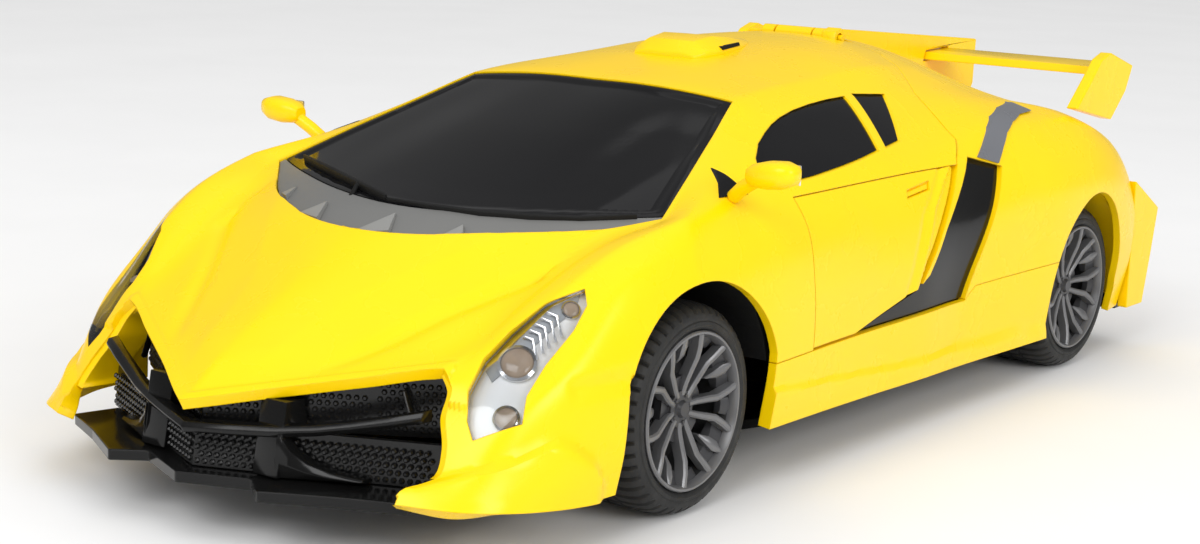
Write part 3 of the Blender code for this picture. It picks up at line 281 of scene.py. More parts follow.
def grow(outline, distance):
    """Move every edge of a flat outline outwards by a distance (inwards if negative)."""
    count = len(outline)
    area = sum(outline[i][0] * outline[(i + 1) % count][1] - outline[(i + 1) % count][0] * outline[i][1]
               for i in range(count))
    sign = 1 if area > 0 else -1
    grown = []
    for i in range(count):
        before, here, after = (Vector(outline[(i + k) % count]) for k in (-1, 0, 1))
        first = (here - before).normalized()
        second = (after - here).normalized()
        out_first = Vector((first.y, -first.x)) * sign
        out_second = Vector((second.y, -second.x)) * sign
        bisector = (out_first + out_second).normalized()
        grown.append(tuple(here + bisector * distance / max(bisector.dot(out_first), 0.4)))
    return grown


def edge_distance(outline, point):
    """Distance from a flat point to the nearest edge of an outline."""
    best = 1e9
    point = Vector(point)
    for a, b in zip(outline, outline[1:] + outline[:1]):
        a, b = Vector(a), Vector(b)
        run = b - a
        share = clamp((point - a).dot(run) / run.length_squared)
        best = min(best, (a + run * share - point).length)
    return best


def make(bm, name, look, body, replaces=(), bevel=0.0, smooth=35):
    """Finish a mesh in millimetres as a piece in metres that rides on a body."""
    bmesh.ops.recalc_face_normals(bm, faces=bm.faces)
    if bevel:
        sharp = [e for e in bm.edges if len(e.link_faces) == 2 and e.calc_face_angle(0) > math.radians(28)]
        bmesh.ops.bevel(bm, geom=sharp, offset=bevel, segments=2, profile=0.6, affect="EDGES",
                        clamp_overlap=True)
    bmesh.ops.scale(bm, vec=(MM, MM, MM), verts=bm.verts)
    mesh = bpy.data.meshes.new(name)
    bm.to_mesh(mesh)
    bm.free()
    return place(mesh, name, look, body, replaces, smooth)


def place(mesh, name, look, body, replaces, smooth):
    mesh.materials.clear()
    mesh.materials.append(look)
    mesh.shade_smooth()
    mesh.set_sharp_from_angle(angle=math.radians(smooth))
    for node in replaces:
        if node == name:
            frame["nodes"][node].name = f"{node}_cad"
    piece = bpy.data.objects.new(name, mesh)
    bpy.context.scene.collection.objects.link(piece)
    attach(piece, body)
    if replaces:
        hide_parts(*replaces)
    return piece


# ---------------------------------------------------------------- the body's skin

def fold_tangent(points, folds, index, side):
    if index == 0:
        return points[1] - points[0]
    if index == len(points) - 1:
        return points[-1] - points[-2]
    behind = points[index] - points[index - 1]
    ahead = points[index + 1] - points[index]
    len_behind = behind.length + 1e-9
    len_ahead = ahead.length + 1e-9
    smooth = (behind / len_behind * len_ahead + ahead / len_ahead * len_behind) / (len_behind + len_ahead)
    single = ahead if side > 0 else behind
    return smooth * single.length * (1 - folds[index]) + single * folds[index]


def through(points, folds, t):
    """A smooth curve through the points, folded where folds say so."""
    i = min(int(t), len(points) - 2)
    f = t - i
    start = fold_tangent(points, folds, i, 1)
    end = fold_tangent(points, folds, i + 1, -1)
    return ((2 * f ** 3 - 3 * f * f + 1) * points[i] + (f ** 3 - 2 * f * f + f) * start
            + (-2 * f ** 3 + 3 * f * f) * points[i + 1] + (f ** 3 - f * f) * end)


def full_section(index):
    half = [Vector(p) for p in BODY_SECTIONS[index]]
    return [Vector((-p.x, p.y, p.z)) for p in half[:0:-1]] + half


def section_folds(index):
    nose = NOSE_FOLD[index] if index < len(NOSE_FOLD) else 0.0
    return [nose if k == 0 else LINE_FOLD[abs(k)] for k in range(-LAST_LINE, LAST_LINE + 1)]


FULL = [(full_section(i), section_folds(i)) for i in range(len(BODY_SECTIONS))]


def spread(low, high, per_step):
    count = max(1, round((high - low) * per_step))
    return [low + (high - low) * k / count for k in range(count + 1)]


def skin_point(u, v):
    column = [through(points, folds, v + LAST_LINE) for points, folds in FULL]
    return through(column, SECTION_FOLD, u)


def skin_frame(u, v):
    """A point of the skin and its outward normal."""
    step = 0.02
    here = skin_point(u, v)
    across = skin_point(u, v + step) - here
    back = skin_point(u + step, v) - here
    normal = across.cross(back).normalized()
    return here, normal


def skin_mesh(along, across, inset=0.0):
    """An open piece of the outer skin, between sections and lines of the body."""
    bm = bmesh.new()
    columns = [[through(points, folds, v + LAST_LINE) for points, folds in FULL] for v in across]
    grid = [[bm.verts.new(through(column, SECTION_FOLD, u)) for column in columns] for u in along]
    for i in range(len(along) - 1):
        for j in range(len(across) - 1):
            bm.faces.new((grid[i][j], grid[i][j + 1], grid[i + 1][j + 1], grid[i + 1][j]))
    if inset:
        bm.normal_update()
        for vert, move in [(vert, vert.normal * inset) for vert in bm.verts]:
            vert.co -= move
    return bm


def bonnet_relief(point):
    """A raised centre between two pairs of creases from the screen to the nose, and a rolled lip."""
    outer = along_line(BONNET_OUTER, point.y)
    inner = along_line(BONNET_INNER, point.y)
    back = point.y - along_line(NOSE_EDGE, abs(point.x))
    rise = clamp((outer - abs(point.x)) / max(outer - inner, 1.0))
    dip = 0.8 * math.exp(-((abs(point.x) - outer - 1.4) / 1.7) ** 2)
    return ((1.3 * rise - dip) * ease((-66 - point.y) / 14) * ease((back - 1) / 9)
            + 0.35 * ease((2.4 - back) / 0.9))


def corner_relief(point):
    """The swollen foot at the lower corner of the nose, and the panel sunk behind the lamp."""
    x, y, z = abs(point.x), point.y, point.z
    if x < 37 or y > -84:
        return 0.0
    foot = 1.3 * ease((along_line(FOOT_TOP, y) - z) / 1.3 + 0.5) * ease((-89.8 - y) / 2.5)
    sunk = min(ease((28.4 - z) / 0.8), ease((z - 25.2) / 0.8), ease((y + 96.2) / 0.9))
    return foot - 0.45 * sunk


def crest_relief(point):
    """The crest of the wing stands proud of the lamp beside it."""
    outer = along_line(CREST, point.y)
    fade = ease((point.y + 113) / 8) * ease((-60 - point.y) / 14)
    return 0.9 * math.exp(-((abs(point.x) - outer) / 3.2) ** 2) * fade if point.z > 24 else 0.0


def shell_relief(point):
    if point.y > -58:
        return 0.0
    lift = corner_relief(point) + crest_relief(point)
    return lift + (bonnet_relief(point) if abs(point.x) < 36 and point.z > 18 else 0.0)


def door_relief(point):
    """A fine line, then a step in behind the curved crease."""
    crease = along_line(DOOR_CREASE, point.z)
    line = along_line(DOOR_LINE, point.z)
    step = -0.55 * ease((point.y - crease) / 0.9)
    ridge = 0.3 * math.exp(-((point.y - crease + 0.5) / 0.8) ** 2)
    groove = -0.3 * math.exp(-((point.y - line) / 0.6) ** 2)
    return (step + ridge + groove) * ease((point.z - 23.5) / 3)


def skirt_relief(point):
    return 0.8 * ease((along_line(SKIRT_LEDGE, point.y) - point.z) / 0.9)


def screen_relief(point):
    """The pane sits a little below its dark border."""
    outline = windscreen_outline(COWL_EDGE)
    return -0.35 * ease((edge_distance(outline, GLASS_PLANE.flat(point)) - 1.7) / 0.5)


def screen_chain(points):
    """The left half of an edge across the screen, smooth over the centre line."""
    flat = [GLASS_PLANE.flat(p) for p in points]
    whole = [(-flat[1][0], flat[1][1]), (0.0, flat[0][1])] + flat[1:]
    return eased_chain(whole, CURVE_PARTS)[CURVE_PARTS:]


def windscreen_outline(lower):
    half = screen_chain(lower) + [GLASS_PLANE.flat(p) for p in SCREEN_SIDE]
    return half + [(-a, b) for a, b in half[-2:0:-1]]


def cowl_outline():
    lower, upper = screen_chain(SCREEN_FOOT), screen_chain(COWL_EDGE)
    half = lower + upper[:0:-1]
    return half + [upper[0]] + [(-a, b) for a, b in half[:0:-1]]


def arch_outline(front):
    """A wheel opening: an arched top and sides that run to the ground."""
    if front:
        middle, reach, rise, first, step = FRONT_AXLE_Y, 21.6, 21.6, 18, 4.5
        ends = [(-45.4, -5)], [(-89.4, -5)]
    else:
        middle, reach, rise, first, step = REAR_AXLE_Y, 17.3, 21.0, 0, 5.625
        ends = [(99.5, -5), (99.0, 15)], [(63.0, -5)]
    arc = []
    for k in range(33):
        angle = math.radians(first + k * step)
        arc.append((middle + reach * math.cos(angle), AXLE_Z + rise * math.sin(angle)))
    return ends[0] + arc + ends[1]


def lamp_outline(gap):
    return grow([LAMP_PLANE.flat(p) for p in HEADLIGHT_EDGE], gap)


def side_prism(side, outline, low=30.0, high=80.0):
    return prism(sided(SIDE_PLANE, side), outline, low, high)


def lamp_prism(side, gap):
    return prism(sided(LAMP_PLANE, side), lamp_outline(gap), *LAMP_REACH)


def press(mesh, relief):
    """Move the outer face of a trimmed panel by a relief along its normals."""
    bm = bmesh.new()
    bm.from_mesh(mesh)
    long_edges = [edge for edge in bm.edges
                  if edge.calc_length() > FINE_EDGE * MM and edge.verts[0].co.y < FINE_BEFORE * MM
                  and all(face.material_index == OUTER_FACE and len(face.verts) == 4
                          for face in edge.link_faces)]
    bmesh.ops.subdivide_edges(bm, edges=long_edges, cuts=1, use_grid_fill=True)
    bm.normal_update()
    moves = []
    for vert in bm.verts:
        outer = [face for face in vert.link_faces if face.material_index == OUTER_FACE]
        if outer:
            normal = sum((face.normal * face.calc_area() for face in outer), Vector()).normalized()
            moves.append((vert, normal * relief(vert.co / MM) * MM))
    for vert, move in moves:
        vert.co += move
    bm.to_mesh(mesh)
    bm.free()


def panel(name, surface, cuts, look, thickness=SKIN, body=None, replaces=None, smooth=32,
          relief=None, sink=None):
    """A piece of skin with wall thickness, trimmed by solid outlines with exact Booleans."""
    if sink:
        bmesh.ops.translate(surface, vec=sink, verts=surface.verts)
    bmesh.ops.scale(surface, vec=(MM, MM, MM), verts=surface.verts)
    mesh = bpy.data.meshes.new(name)
    surface.to_mesh(mesh)
    surface.free()
    for _ in range(CUT_FACE + 1):
        mesh.materials.append(None)
    rough = bpy.data.objects.new(f"{name}_rough", mesh)
    bpy.context.scene.collection.objects.link(rough)
    wall = rough.modifiers.new("wall", "SOLIDIFY")
    wall.thickness = thickness * MM
    wall.offset = -1.0
    wall.material_offset = wall.material_offset_rim = CUT_FACE
    tools = []
    for operation, tool in cuts:
        bmesh.ops.scale(tool, vec=(MM, MM, MM), verts=tool.verts)
        bmesh.ops.recalc_face_normals(tool, faces=tool.faces)
        tool_mesh = bpy.data.meshes.new("tool")
        tool.to_mesh(tool_mesh)
        tool.free()
        for _ in range(CUT_FACE + 1):
            tool_mesh.materials.append(None)
        tool_mesh.polygons.foreach_set("material_index", [CUT_FACE] * len(tool_mesh.polygons))
        holder = bpy.data.objects.new("tool", tool_mesh)
        bpy.context.scene.collection.objects.link(holder)
        tools.append(holder)
        step = rough.modifiers.new("trim", "BOOLEAN")
        step.operation = operation
        step.solver = "EXACT"
        step.object = holder
    bpy.context.view_layer.update()
    trimmed = rough.evaluated_get(bpy.context.evaluated_depsgraph_get())
    final = bpy.data.meshes.new_from_object(trimmed)
    final.name = name
    for holder in tools + [rough]:
        bpy.data.objects.remove(holder)
    if relief:
        press(final, relief)
    nodes = (name,) if replaces is None else replaces
    return place(final, name, look, body or BODY_OF[name], nodes, smooth)


# ---------------------------------------------------------------- materials

def shader_graph(name):
    made = bpy.data.materials.new(name)
    made.use_nodes = True
    graph = made.node_tree
    return made, graph, graph.nodes["Principled BSDF"]


def noise_node(graph, scale, detail=3.0):
    place_node = graph.nodes.new("ShaderNodeTexCoord")
    texture = graph.nodes.new("ShaderNodeTexNoise")
    texture.inputs["Scale"].default_value = scale
    texture.inputs["Detail"].default_value = detail
    graph.links.new(place_node.outputs["Object"], texture.inputs["Vector"])
    return texture.outputs["Fac"]


def remap(graph, value, low, high):
    node = graph.nodes.new("ShaderNodeMapRange")
    node.inputs["From Min"].default_value = 0.3
    node.inputs["From Max"].default_value = 0.7
    node.inputs["To Min"].default_value = low
    node.inputs["To Max"].default_value = high
    graph.links.new(value, node.inputs["Value"])
    return node.outputs["Result"]


def mixed(graph, value, first, second):
    node = graph.nodes.new("ShaderNodeMix")
    node.data_type = "RGBA"
    node.inputs["A"].default_value = (*first, 1.0)
    node.inputs["B"].default_value = (*second, 1.0)
    graph.links.new(value, node.inputs["Factor"])
    return node.outputs["Result"]


def plastic(name, first, second, rough, patch=14.0, grain=900.0, bump=0.03, edge=0.0, **sockets):
    """Moulded plastic: faint colour drift, uneven gloss, a fine skin and softened edges."""
    made, graph, shader = shader_graph(name)
    graph.links.new(mixed(graph, remap(graph, noise_node(graph, patch), 0, 1), first, second),
                    shader.inputs["Base Color"])
    graph.links.new(remap(graph, noise_node(graph, patch * 6, 5.0), *rough), shader.inputs["Roughness"])
    surface = graph.nodes.new("ShaderNodeBump")
    surface.inputs["Strength"].default_value = bump
    surface.inputs["Distance"].default_value = 0.0002
    graph.links.new(noise_node(graph, grain, 2.0), surface.inputs["Height"])
    if edge:
        rounded = graph.nodes.new("ShaderNodeBevel")
        rounded.samples = 4
        rounded.inputs["Radius"].default_value = edge * MM
        graph.links.new(rounded.outputs["Normal"], surface.inputs["Normal"])
    graph.links.new(surface.outputs["Normal"], shader.inputs["Normal"])
    for socket, value in sockets.items():
        shader.inputs[socket.replace("_", " ")].default_value = value
    return made


def brushed(name, first, second, rough, stretch=(1, 30, 30), metallic=0.95):
    """Metal with fine drawn lines round or along it."""
    made, graph, shader = shader_graph(name)
    coordinate = graph.nodes.new("ShaderNodeTexCoord")
    mapping = graph.nodes.new("ShaderNodeMapping")
    mapping.inputs["Scale"].default_value = stretch
    texture = graph.nodes.new("ShaderNodeTexNoise")
    texture.inputs["Scale"].default_value = 160.0
    texture.inputs["Detail"].default_value = 4.0
    graph.links.new(coordinate.outputs["Object"], mapping.inputs["Vector"])
    graph.links.new(mapping.outputs["Vector"], texture.inputs["Vector"])
    graph.links.new(mixed(graph, texture.outputs["Fac"], first, second), shader.inputs["Base Color"])
    graph.links.new(remap(graph, texture.outputs["Fac"], *rough), shader.inputs["Roughness"])
    shader.inputs["Metallic"].default_value = metallic
    return made


def clear_lens(name, first, second):
    """Thin clear plastic: light passes straight through and its skin shines."""
    made, graph, shader = shader_graph(name)
    clear = graph.nodes.new("ShaderNodeBsdfTransparent")
    graph.links.new(mixed(graph, remap(graph, noise_node(graph, 40.0), 0, 1), first, second),
                    clear.inputs["Color"])
    shine = graph.nodes.new("ShaderNodeBsdfGlossy")
    shine.inputs["Roughness"].default_value = 0.04
    share = graph.nodes.new("ShaderNodeFresnel")
    share.inputs["IOR"].default_value = 1.42
    blend = graph.nodes.new("ShaderNodeMixShader")
    graph.links.new(share.outputs["Fac"], blend.inputs["Fac"])
    graph.links.new(clear.outputs["BSDF"], blend.inputs[1])
    graph.links.new(shine.outputs["BSDF"], blend.inputs[2])
    graph.links.new(blend.outputs["Shader"], graph.nodes["Material Output"].inputs["Surface"])
    graph.nodes.remove(shader)
    return made


YELLOW = plastic("yellow_plastic", (1.0, 0.635, 0.0), (1.0, 0.67, 0.0), (0.24, 0.32), edge=0.3,
                 Specular_IOR_Level=0.3)
WINDOW = plastic("smoked_glazing", (0.004, 0.004, 0.0045), (0.006, 0.006, 0.007), (0.05, 0.09), bump=0.01,
                 Specular_IOR_Level=0.22)
GLOSS_BLACK = plastic("gloss_black_plastic", (0.003, 0.003, 0.003), (0.006, 0.006, 0.006), (0.1, 0.2),
                      edge=0.25, Specular_IOR_Level=0.28)
MATT_BLACK = plastic("matt_black_plastic", (0.006, 0.006, 0.006), (0.011, 0.011, 0.011), (0.42, 0.6),
                     grain=1600, bump=0.25, edge=0.2, Specular_IOR_Level=0.25)
MESH_BLACK = plastic("mesh_black_plastic", (0.004, 0.004, 0.004), (0.009, 0.009, 0.009), (0.16, 0.3),
                     Specular_IOR_Level=0.4)
COWL_GREY = plastic("cowl_grey_plastic", (0.15, 0.15, 0.145), (0.18, 0.18, 0.175), (0.35, 0.45),
                    bump=0.08, edge=0.2)
# The cowl's grey made lighter for its ribs: painted highlight where they catch the light.
RIB_GREY_PAINTED_HIGHLIGHT = plastic("rib_grey_painted_highlight", (0.24, 0.24, 0.23), (0.29, 0.29, 0.28), (0.35, 0.45),
                   bump=0.08, edge=0.2)
STRIP_GREY = plastic("strip_grey_plastic", (0.13, 0.135, 0.15), (0.19, 0.195, 0.21), (0.2, 0.3))
ROBOT_GREY = plastic("robot_grey_plastic", (0.045, 0.047, 0.052), (0.065, 0.067, 0.072), (0.32, 0.45),
                     grain=1400, bump=0.12, edge=0.25)
NYLON = plastic("gear_nylon", (0.72, 0.70, 0.64), (0.8, 0.78, 0.73), (0.4, 0.5), Subsurface_Weight=0.15,
                Subsurface_Scale=0.002)
RUBBER = plastic("tyre_rubber", (0.009, 0.009, 0.009), (0.019, 0.019, 0.018), (0.5, 0.72),
                 patch=60, grain=1800, bump=0.3)
RIM = plastic("rim_gunmetal", (0.045, 0.045, 0.048), (0.07, 0.07, 0.074), (0.34, 0.46), patch=40, edge=0.15,
              Metallic=0.35)
RIM_BRIGHT = plastic("rim_bright_edge", (0.15, 0.15, 0.155), (0.2, 0.2, 0.205), (0.3, 0.4), patch=40,
                     Metallic=0.5)
RIM_DARK = plastic("rim_dark_barrel", (0.012, 0.012, 0.012), (0.03, 0.03, 0.03), (0.4, 0.55))
STEEL = brushed("drawn_steel", (0.5, 0.5, 0.51), (0.64, 0.64, 0.66), (0.2, 0.36))
CHROME = brushed("silvered_reflector", (0.72, 0.73, 0.75), (0.86, 0.87, 0.88), (0.1, 0.2), (1, 1, 1), 0.9)
WHITE_LAMP = plastic("white_reflector", (0.83, 0.84, 0.85), (0.92, 0.92, 0.92), (0.15, 0.25))
# Grey laid over the white reflector's upper half: painted shade.
SHADE_PAINTED_LAMP = plastic("reflector_painted_shade", (0.25, 0.27, 0.29), (0.38, 0.4, 0.42), (0.2, 0.3))
BULB = plastic("bulb_amber_clear", (0.30, 0.22, 0.15), (0.42, 0.33, 0.25), (0.08, 0.14))
RED_LENS = plastic("red_lens", (0.45, 0.004, 0.004), (0.6, 0.01, 0.008), (0.08, 0.14), Coat_Weight=0.5)
VISOR = plastic("visor_blue", (0.02, 0.16, 0.36), (0.04, 0.3, 0.5), (0.08, 0.14), Coat_Weight=0.5)
LENS = clear_lens("clear_lens", (0.93, 0.95, 0.96), (0.99, 0.99, 1.0))


# ---------------------------------------------------------------- body panels

def body_rows(low, high):
    """Rows of the skin, closest together at the nose."""
    rows = spread(0, 0.4, 22)[:-1] + spread(0.4, 5, 15)[:-1] + spread(5, 14, 7)
    return [row for row in rows if low <= row <= high]


def build_front_shell():
    cuts = [("INTERSECT", prism(SIDE_PLANE, SHELL_SIDE, -80, 80)),
            ("DIFFERENCE", prism(GLASS_PLANE, windscreen_outline(SCREEN_FOOT), *GLASS_REACH)),
            ("DIFFERENCE", add_box(bmesh.new(), (-12.5, 44.4, 60), (12.5, 60, 80)))]
    for side, _ in SIDES:
        for outline in (arch_outline(True), DOOR_HOLE, DOOR_WINDOW, QUARTER_WINDOW):
            cuts.append(("DIFFERENCE", side_prism(side, outline, 28)))
        cuts.append(("DIFFERENCE", lamp_prism(side, 0.0)))
    skin = skin_mesh(body_rows(0, 10.2), spread(-LAST_LINE, LAST_LINE, 8))
    panel("front_shell", skin, cuts, YELLOW, relief=shell_relief)


def build_rear_shell():
    cuts = [("DIFFERENCE", prism(SIDE_PLANE, REAR_SIDE, -80, 80)),
            ("DIFFERENCE", add_box(bmesh.new(), (-12.5, 40, 60), (12.5, 49.6, 80)))]
    for side, _ in SIDES:
        for outline in (arch_outline(False), INTAKE_HOLE, grow(SKIRT_SIDE, 0.1), TAIL_CUT):
            cuts.append(("DIFFERENCE", side_prism(side, outline, 42)))
    panel("rear_quarter_shell", skin_mesh(body_rows(7, 14), spread(-LAST_LINE, LAST_LINE, 7)), cuts, YELLOW)


def half_lines(side, low, high, per_step):
    return spread(low, high, per_step) if side > 0 else spread(-high, -low, per_step)


def build_glazing():
    pane = prism(GLASS_PLANE, grow(windscreen_outline(COWL_EDGE), -GAP), *GLASS_REACH)
    skin = skin_mesh(spread(3.9, 7.3, 26), spread(-3.3, 3.3, 22), inset=0.25)
    panel("windscreen", skin, [("INTERSECT", pane)], WINDOW, thickness=1.4, relief=screen_relief)
    cowl = prism(GLASS_PLANE, grow(cowl_outline(), -GAP / 2), *GLASS_REACH)
    skin = skin_mesh(spread(3.7, 5.2, 10), spread(-3.4, 3.4, 10))
    panel("windscreen_cowl", skin, [("INTERSECT", cowl)], COWL_GREY, sink=GLASS_PLANE.n * -0.3)
    for side, word in SIDES:
        lines = half_lines(side, 3.1, 5.6, 10)
        for name, outline, along in (("door_window", DOOR_WINDOW, spread(5.2, 8.4, 10)),
                                     ("quarter_window", QUARTER_WINDOW, spread(7.4, 9.4, 10))):
            cut = side_prism(side, grow(outline, -GAP))
            panel(f"{name}_{word}", skin_mesh(along, lines, inset=0.4), [("INTERSECT", cut)], WINDOW,
                  thickness=1.2)
        skin = skin_mesh(spread(4.4, 5.8, 12), half_lines(side, 3.4, 5.4, 12), inset=-0.12)
        panel(f"front_triangle_{word}", skin, [("INTERSECT", side_prism(side, FRONT_TRIANGLE))], WINDOW,
              thickness=0.5, body="shell", replaces=())


def build_doors():
    for side, word in SIDES:
        skin = skin_mesh(spread(5.1, 9.3, 30), half_lines(side, 4.6, 8.6, 18))
        cuts = [("INTERSECT", side_prism(side, DOOR_SIDE)),
                ("DIFFERENCE", side_prism(side, DOOR_HANDLE, 49.9))]
        panel(f"door_{word}", skin, cuts, YELLOW, relief=door_relief)
        bar = [(y, z - 0.12) for y, z in grow(DOOR_HANDLE, -0.32)]
        skin = skin_mesh(spread(7.2, 8.8, 10), half_lines(side, 5.2, 7, 10), inset=0.35)
        panel(f"door_handle_{word}", skin, [("INTERSECT", side_prism(side, bar))], YELLOW, thickness=0.9,
              body=f"{word}_door", replaces=())


def build_side_trim():
    for side, word in SIDES:
        skin = skin_mesh(spread(4, 12, 9), half_lines(side, 7.2, 9, 12))
        cuts = [("INTERSECT", side_prism(side, SKIRT_SIDE)),
                ("DIFFERENCE", side_prism(side, arch_outline(True))),
                ("DIFFERENCE", side_prism(side, arch_outline(False)))]
        panel(f"side_skirt_{word}", skin, cuts, YELLOW, relief=skirt_relief)
        skin = skin_mesh(spread(5.6, 10.2, 9), half_lines(side, 5.2, 8.6, 9), inset=1.0)
        cut = side_prism(side, grow(INTAKE_SIDE, -0.05))
        panel(f"side_intake_{word}", skin, [("INTERSECT", cut)], GLOSS_BLACK, thickness=1.2)
        skin = skin_mesh(spread(9.2, 11.6, 12), half_lines(side, 4.6, 7, 12), inset=-0.4)
        panel(f"quarter_strip_{word}", skin, [("INTERSECT", side_prism(side, QUARTER_STRIP))], STRIP_GREY,
              thickness=0.9, body="chassis", replaces=())


# ---------------------------------------------------------------- lamps, wiper, ribs and mirrors

def on_skin(point, inset=0.0):
    """Foot of a point on the skin's left half, moved inwards, with the normal there."""
    best = None
    for u in spread(0.4, 5, 6):
        for v in spread(0.1, 6.8, 6):
            gap = (skin_point(u, v) - Vector(point)).length
            if best is None or gap < best[0]:
                best = (gap, u, v)
    here, normal = skin_frame(best[1], best[2])
    target = Vector(point)
    return target - normal * ((target - here).dot(normal) + inset), normal


def mirrored(point, side):
    return Vector((side * point[0], point[1], point[2]))


def ring_at(centre, one, two, reach, sides):
    """Points round a circle spanned by two directions."""
    return [centre + (one * math.cos(a) + two * math.sin(a)) * reach
            for a in (2 * math.pi * s / sides for s in range(sides))]


def tube(bm, points, radius, sides=8):
    """A round bar through points, with capped ends."""
    rings = []
    for k, point in enumerate(points):
        run = (Vector(points[min(k + 1, len(points) - 1)]) - Vector(points[max(k - 1, 0)])).normalized()
        one = run.orthogonal().normalized()
        two = run.cross(one)
        rings.append(ring_at(Vector(point), one, two, radius, sides))
    return add_loft(bm, rings)


def add_dome(bm, centre, normal, radius, rise, rings=5, sides=28):
    """A shallow dome with a flat collar round it."""
    one = normal.orthogonal().normalized()
    two = normal.cross(one)
    rows = []
    for k in range(rings + 1):
        share = k / rings
        reach = radius * math.cos(share * math.pi / 2 * 0.96)
        height = rise * math.sin(share * math.pi / 2 * 0.96)
        rows.append(ring_at(centre + normal * height, one, two, reach, sides))
    rows.insert(0, [point - normal * 0.5 for point in rows[0]])
    return add_loft(bm, rows)


# The upper inner half of the reflector, covered by a grey sheet as painted shade.
SHADE_EDGE = ((39.9, -102.5, 29.4), (40.8, -97, 33.4), (43.5, -92.6, 37.9), (46.4, -88, 40.1),
              (46.9, -89.6, 38.4), (45.4, -94, 34.9), (43.9, -98.2, 31.6), (41.6, -103, 28.0))
LAMP_BULBS = (((43.7, -99.5, 30.8), 2.5), ((45.9, -104.6, 23.4), 1.7), ((46.6, -89.9, 38.0), 1.25))


def build_headlights():
    for side, word in SIDES:
        skin = skin_mesh(spread(0.1, 3.1, 14), half_lines(side, 2.6, 6.9, 14))
        panel(f"headlight_{word}", skin, [("INTERSECT", lamp_prism(side, -GAP / 2))], LENS, thickness=0.7)
        inward = sided(LAMP_PLANE, side).n * -1.0
        skin = skin_mesh(spread(0.1, 3.1, 14), half_lines(side, 2.6, 6.9, 14))
        panel(f"lamp_reflector_{word}", skin, [("INTERSECT", lamp_prism(side, 0.5))], WHITE_LAMP,
              thickness=0.6, body="shell", replaces=(), sink=inward * 1.9)
        # A thin grey sheet just in front of the reflector's upper half: painted shade.
        upper = prism(sided(LAMP_PLANE, side), [LAMP_PLANE.flat(p) for p in SHADE_EDGE], *LAMP_REACH)
        skin = skin_mesh(spread(0.1, 3.1, 14), half_lines(side, 2.6, 6.9, 14))
        panel(f"lamp_shade_{word}", skin, [("INTERSECT", upper)], SHADE_PAINTED_LAMP, thickness=0.25,
              body="shell", replaces=(), sink=inward * 1.65)
        bulbs = bmesh.new()
        bezels = bmesh.new()
        for place_at, radius in LAMP_BULBS:
            foot, normal = on_skin(place_at, 1.45)
            add_dome(bulbs, mirrored(foot, side), mirrored(normal, side), radius, radius * 0.3)
            add_bezel(bezels, mirrored(foot, side), mirrored(normal, side), radius)
        make(bulbs, f"lamp_bulbs_{word}", BULB, "shell")
        make(bezels, f"lamp_bezels_{word}", CHROME, "shell")
        ribs = bmesh.new()
        for k in range(5):
            shift = Vector((0.33, 1.12, 0.83)) * k * 0.95
            chain = [Vector((41.9, -96.6, 34.2)), Vector((44.2, -96.2, 33.8)), Vector((46.0, -97.2, 31.2))]
            path = [mirrored(on_skin(point + shift, 1.2)[0], side) for point in chain]
            tube(ribs, path, 0.28, 6)
        make(ribs, f"lamp_ribs_{word}", CHROME, "shell")


def add_bezel(bm, centre, normal, radius, sides=28):
    one = normal.orthogonal().normalized()
    two = normal.cross(one)
    rows = []
    for share, height in ((1.22, -0.3), (1.22, 0.1), (1.02, 0.3), (0.98, -0.3)):
        reach = radius * share
        rows.append(ring_at(centre + normal * height, one, two, reach, sides))
    loops = [[bm.verts.new(point) for point in row] for row in rows]
    for k in range(4):
        low, high = loops[k], loops[(k + 1) % 4]
        for s in range(sides):
            bm.faces.new((low[s], low[(s + 1) % sides], high[(s + 1) % sides], high[s]))


WIPER = ((-37.8, -62, 48.9), (-31, -65.5, 48.8), (-21.1, -70.1, 48.4), (-12.3, -73.9, 47.9),
         (-3.6, -77.1, 47.1))
WIPER_HALF = (0.25, 0.42, 0.5, 0.5, 0.35)
SCREEN_LINE = ((-3.4, -77.1, 47), (6.2, -77, 47), (16, -75.7, 47), (24.4, -72.9, 47.1), (32, -69.2, 47.3),
               (39.5, -64, 48))
SCREEN_LINE_HALF = (0.3, 0.5, 0.6, 0.6, 0.5, 0.25)
COWL_RIBS = (((-17, -84.2, 44), (-10.5, -86.6, 43.4), (-14.3, -80.2, 45.4)),
             ((-1.5, -88.2, 43), (6.2, -87, 43.4), (2.4, -81.2, 45.6)),
             ((14.6, -84.6, 43.9), (18.6, -82.8, 44.1), (16.4, -80.2, 45.3)),
             ((-29.5, -76.3, 45), (-25.4, -79, 44.5), (-27.6, -74.2, 45.8)))


def build_wipers():
    """A slim blade lying on the screen and a raised seal line along its foot."""
    blades = bmesh.new()
    for chain, halves, rise in ((WIPER, WIPER_HALF, 0.75), (SCREEN_LINE, SCREEN_LINE_HALF, 0.35)):
        rings = []
        for k, point in enumerate(chain):
            ahead = (Vector(chain[min(k + 1, len(chain) - 1)]) - Vector(chain[max(k - 1, 0)])).normalized()
            wide = GLASS_PLANE.n.cross(ahead).normalized()
            foot = Vector(point) - GLASS_PLANE.n * 0.9
            top = Vector(point) + GLASS_PLANE.n * rise
            half = halves[k]
            rings.append([foot + wide * half, foot - wide * half,
                          top - wide * half * 0.7, top + wide * half * 0.7])
        add_loft(blades, rings)
    add_rod(blades, (-12.6, -76.3, 46.2), (-13.2, -73.6, 48.3), 0.5, 12)
    make(blades, "wiper_blades", MATT_BLACK, "shell", bevel=0.08)


def build_cowl_ribs():
    """Wedge ribs on the grey panel in front of the screen, proud along one edge, in a lighter grey as painted
    highlight.
    """
    ribs = bmesh.new()
    up = GLASS_PLANE.n
    for left, right, tip in COWL_RIBS:
        left, right, tip = Vector(left), Vector(right), Vector(tip)
        add_loft(ribs, [[left - up, right - up, tip - up],
                        [left - up * 0.1, right + up * 0.75, tip + up * 0.35]])
    make(ribs, "cowl_ribs", RIB_GREY_PAINTED_HIGHLIGHT, "shell")


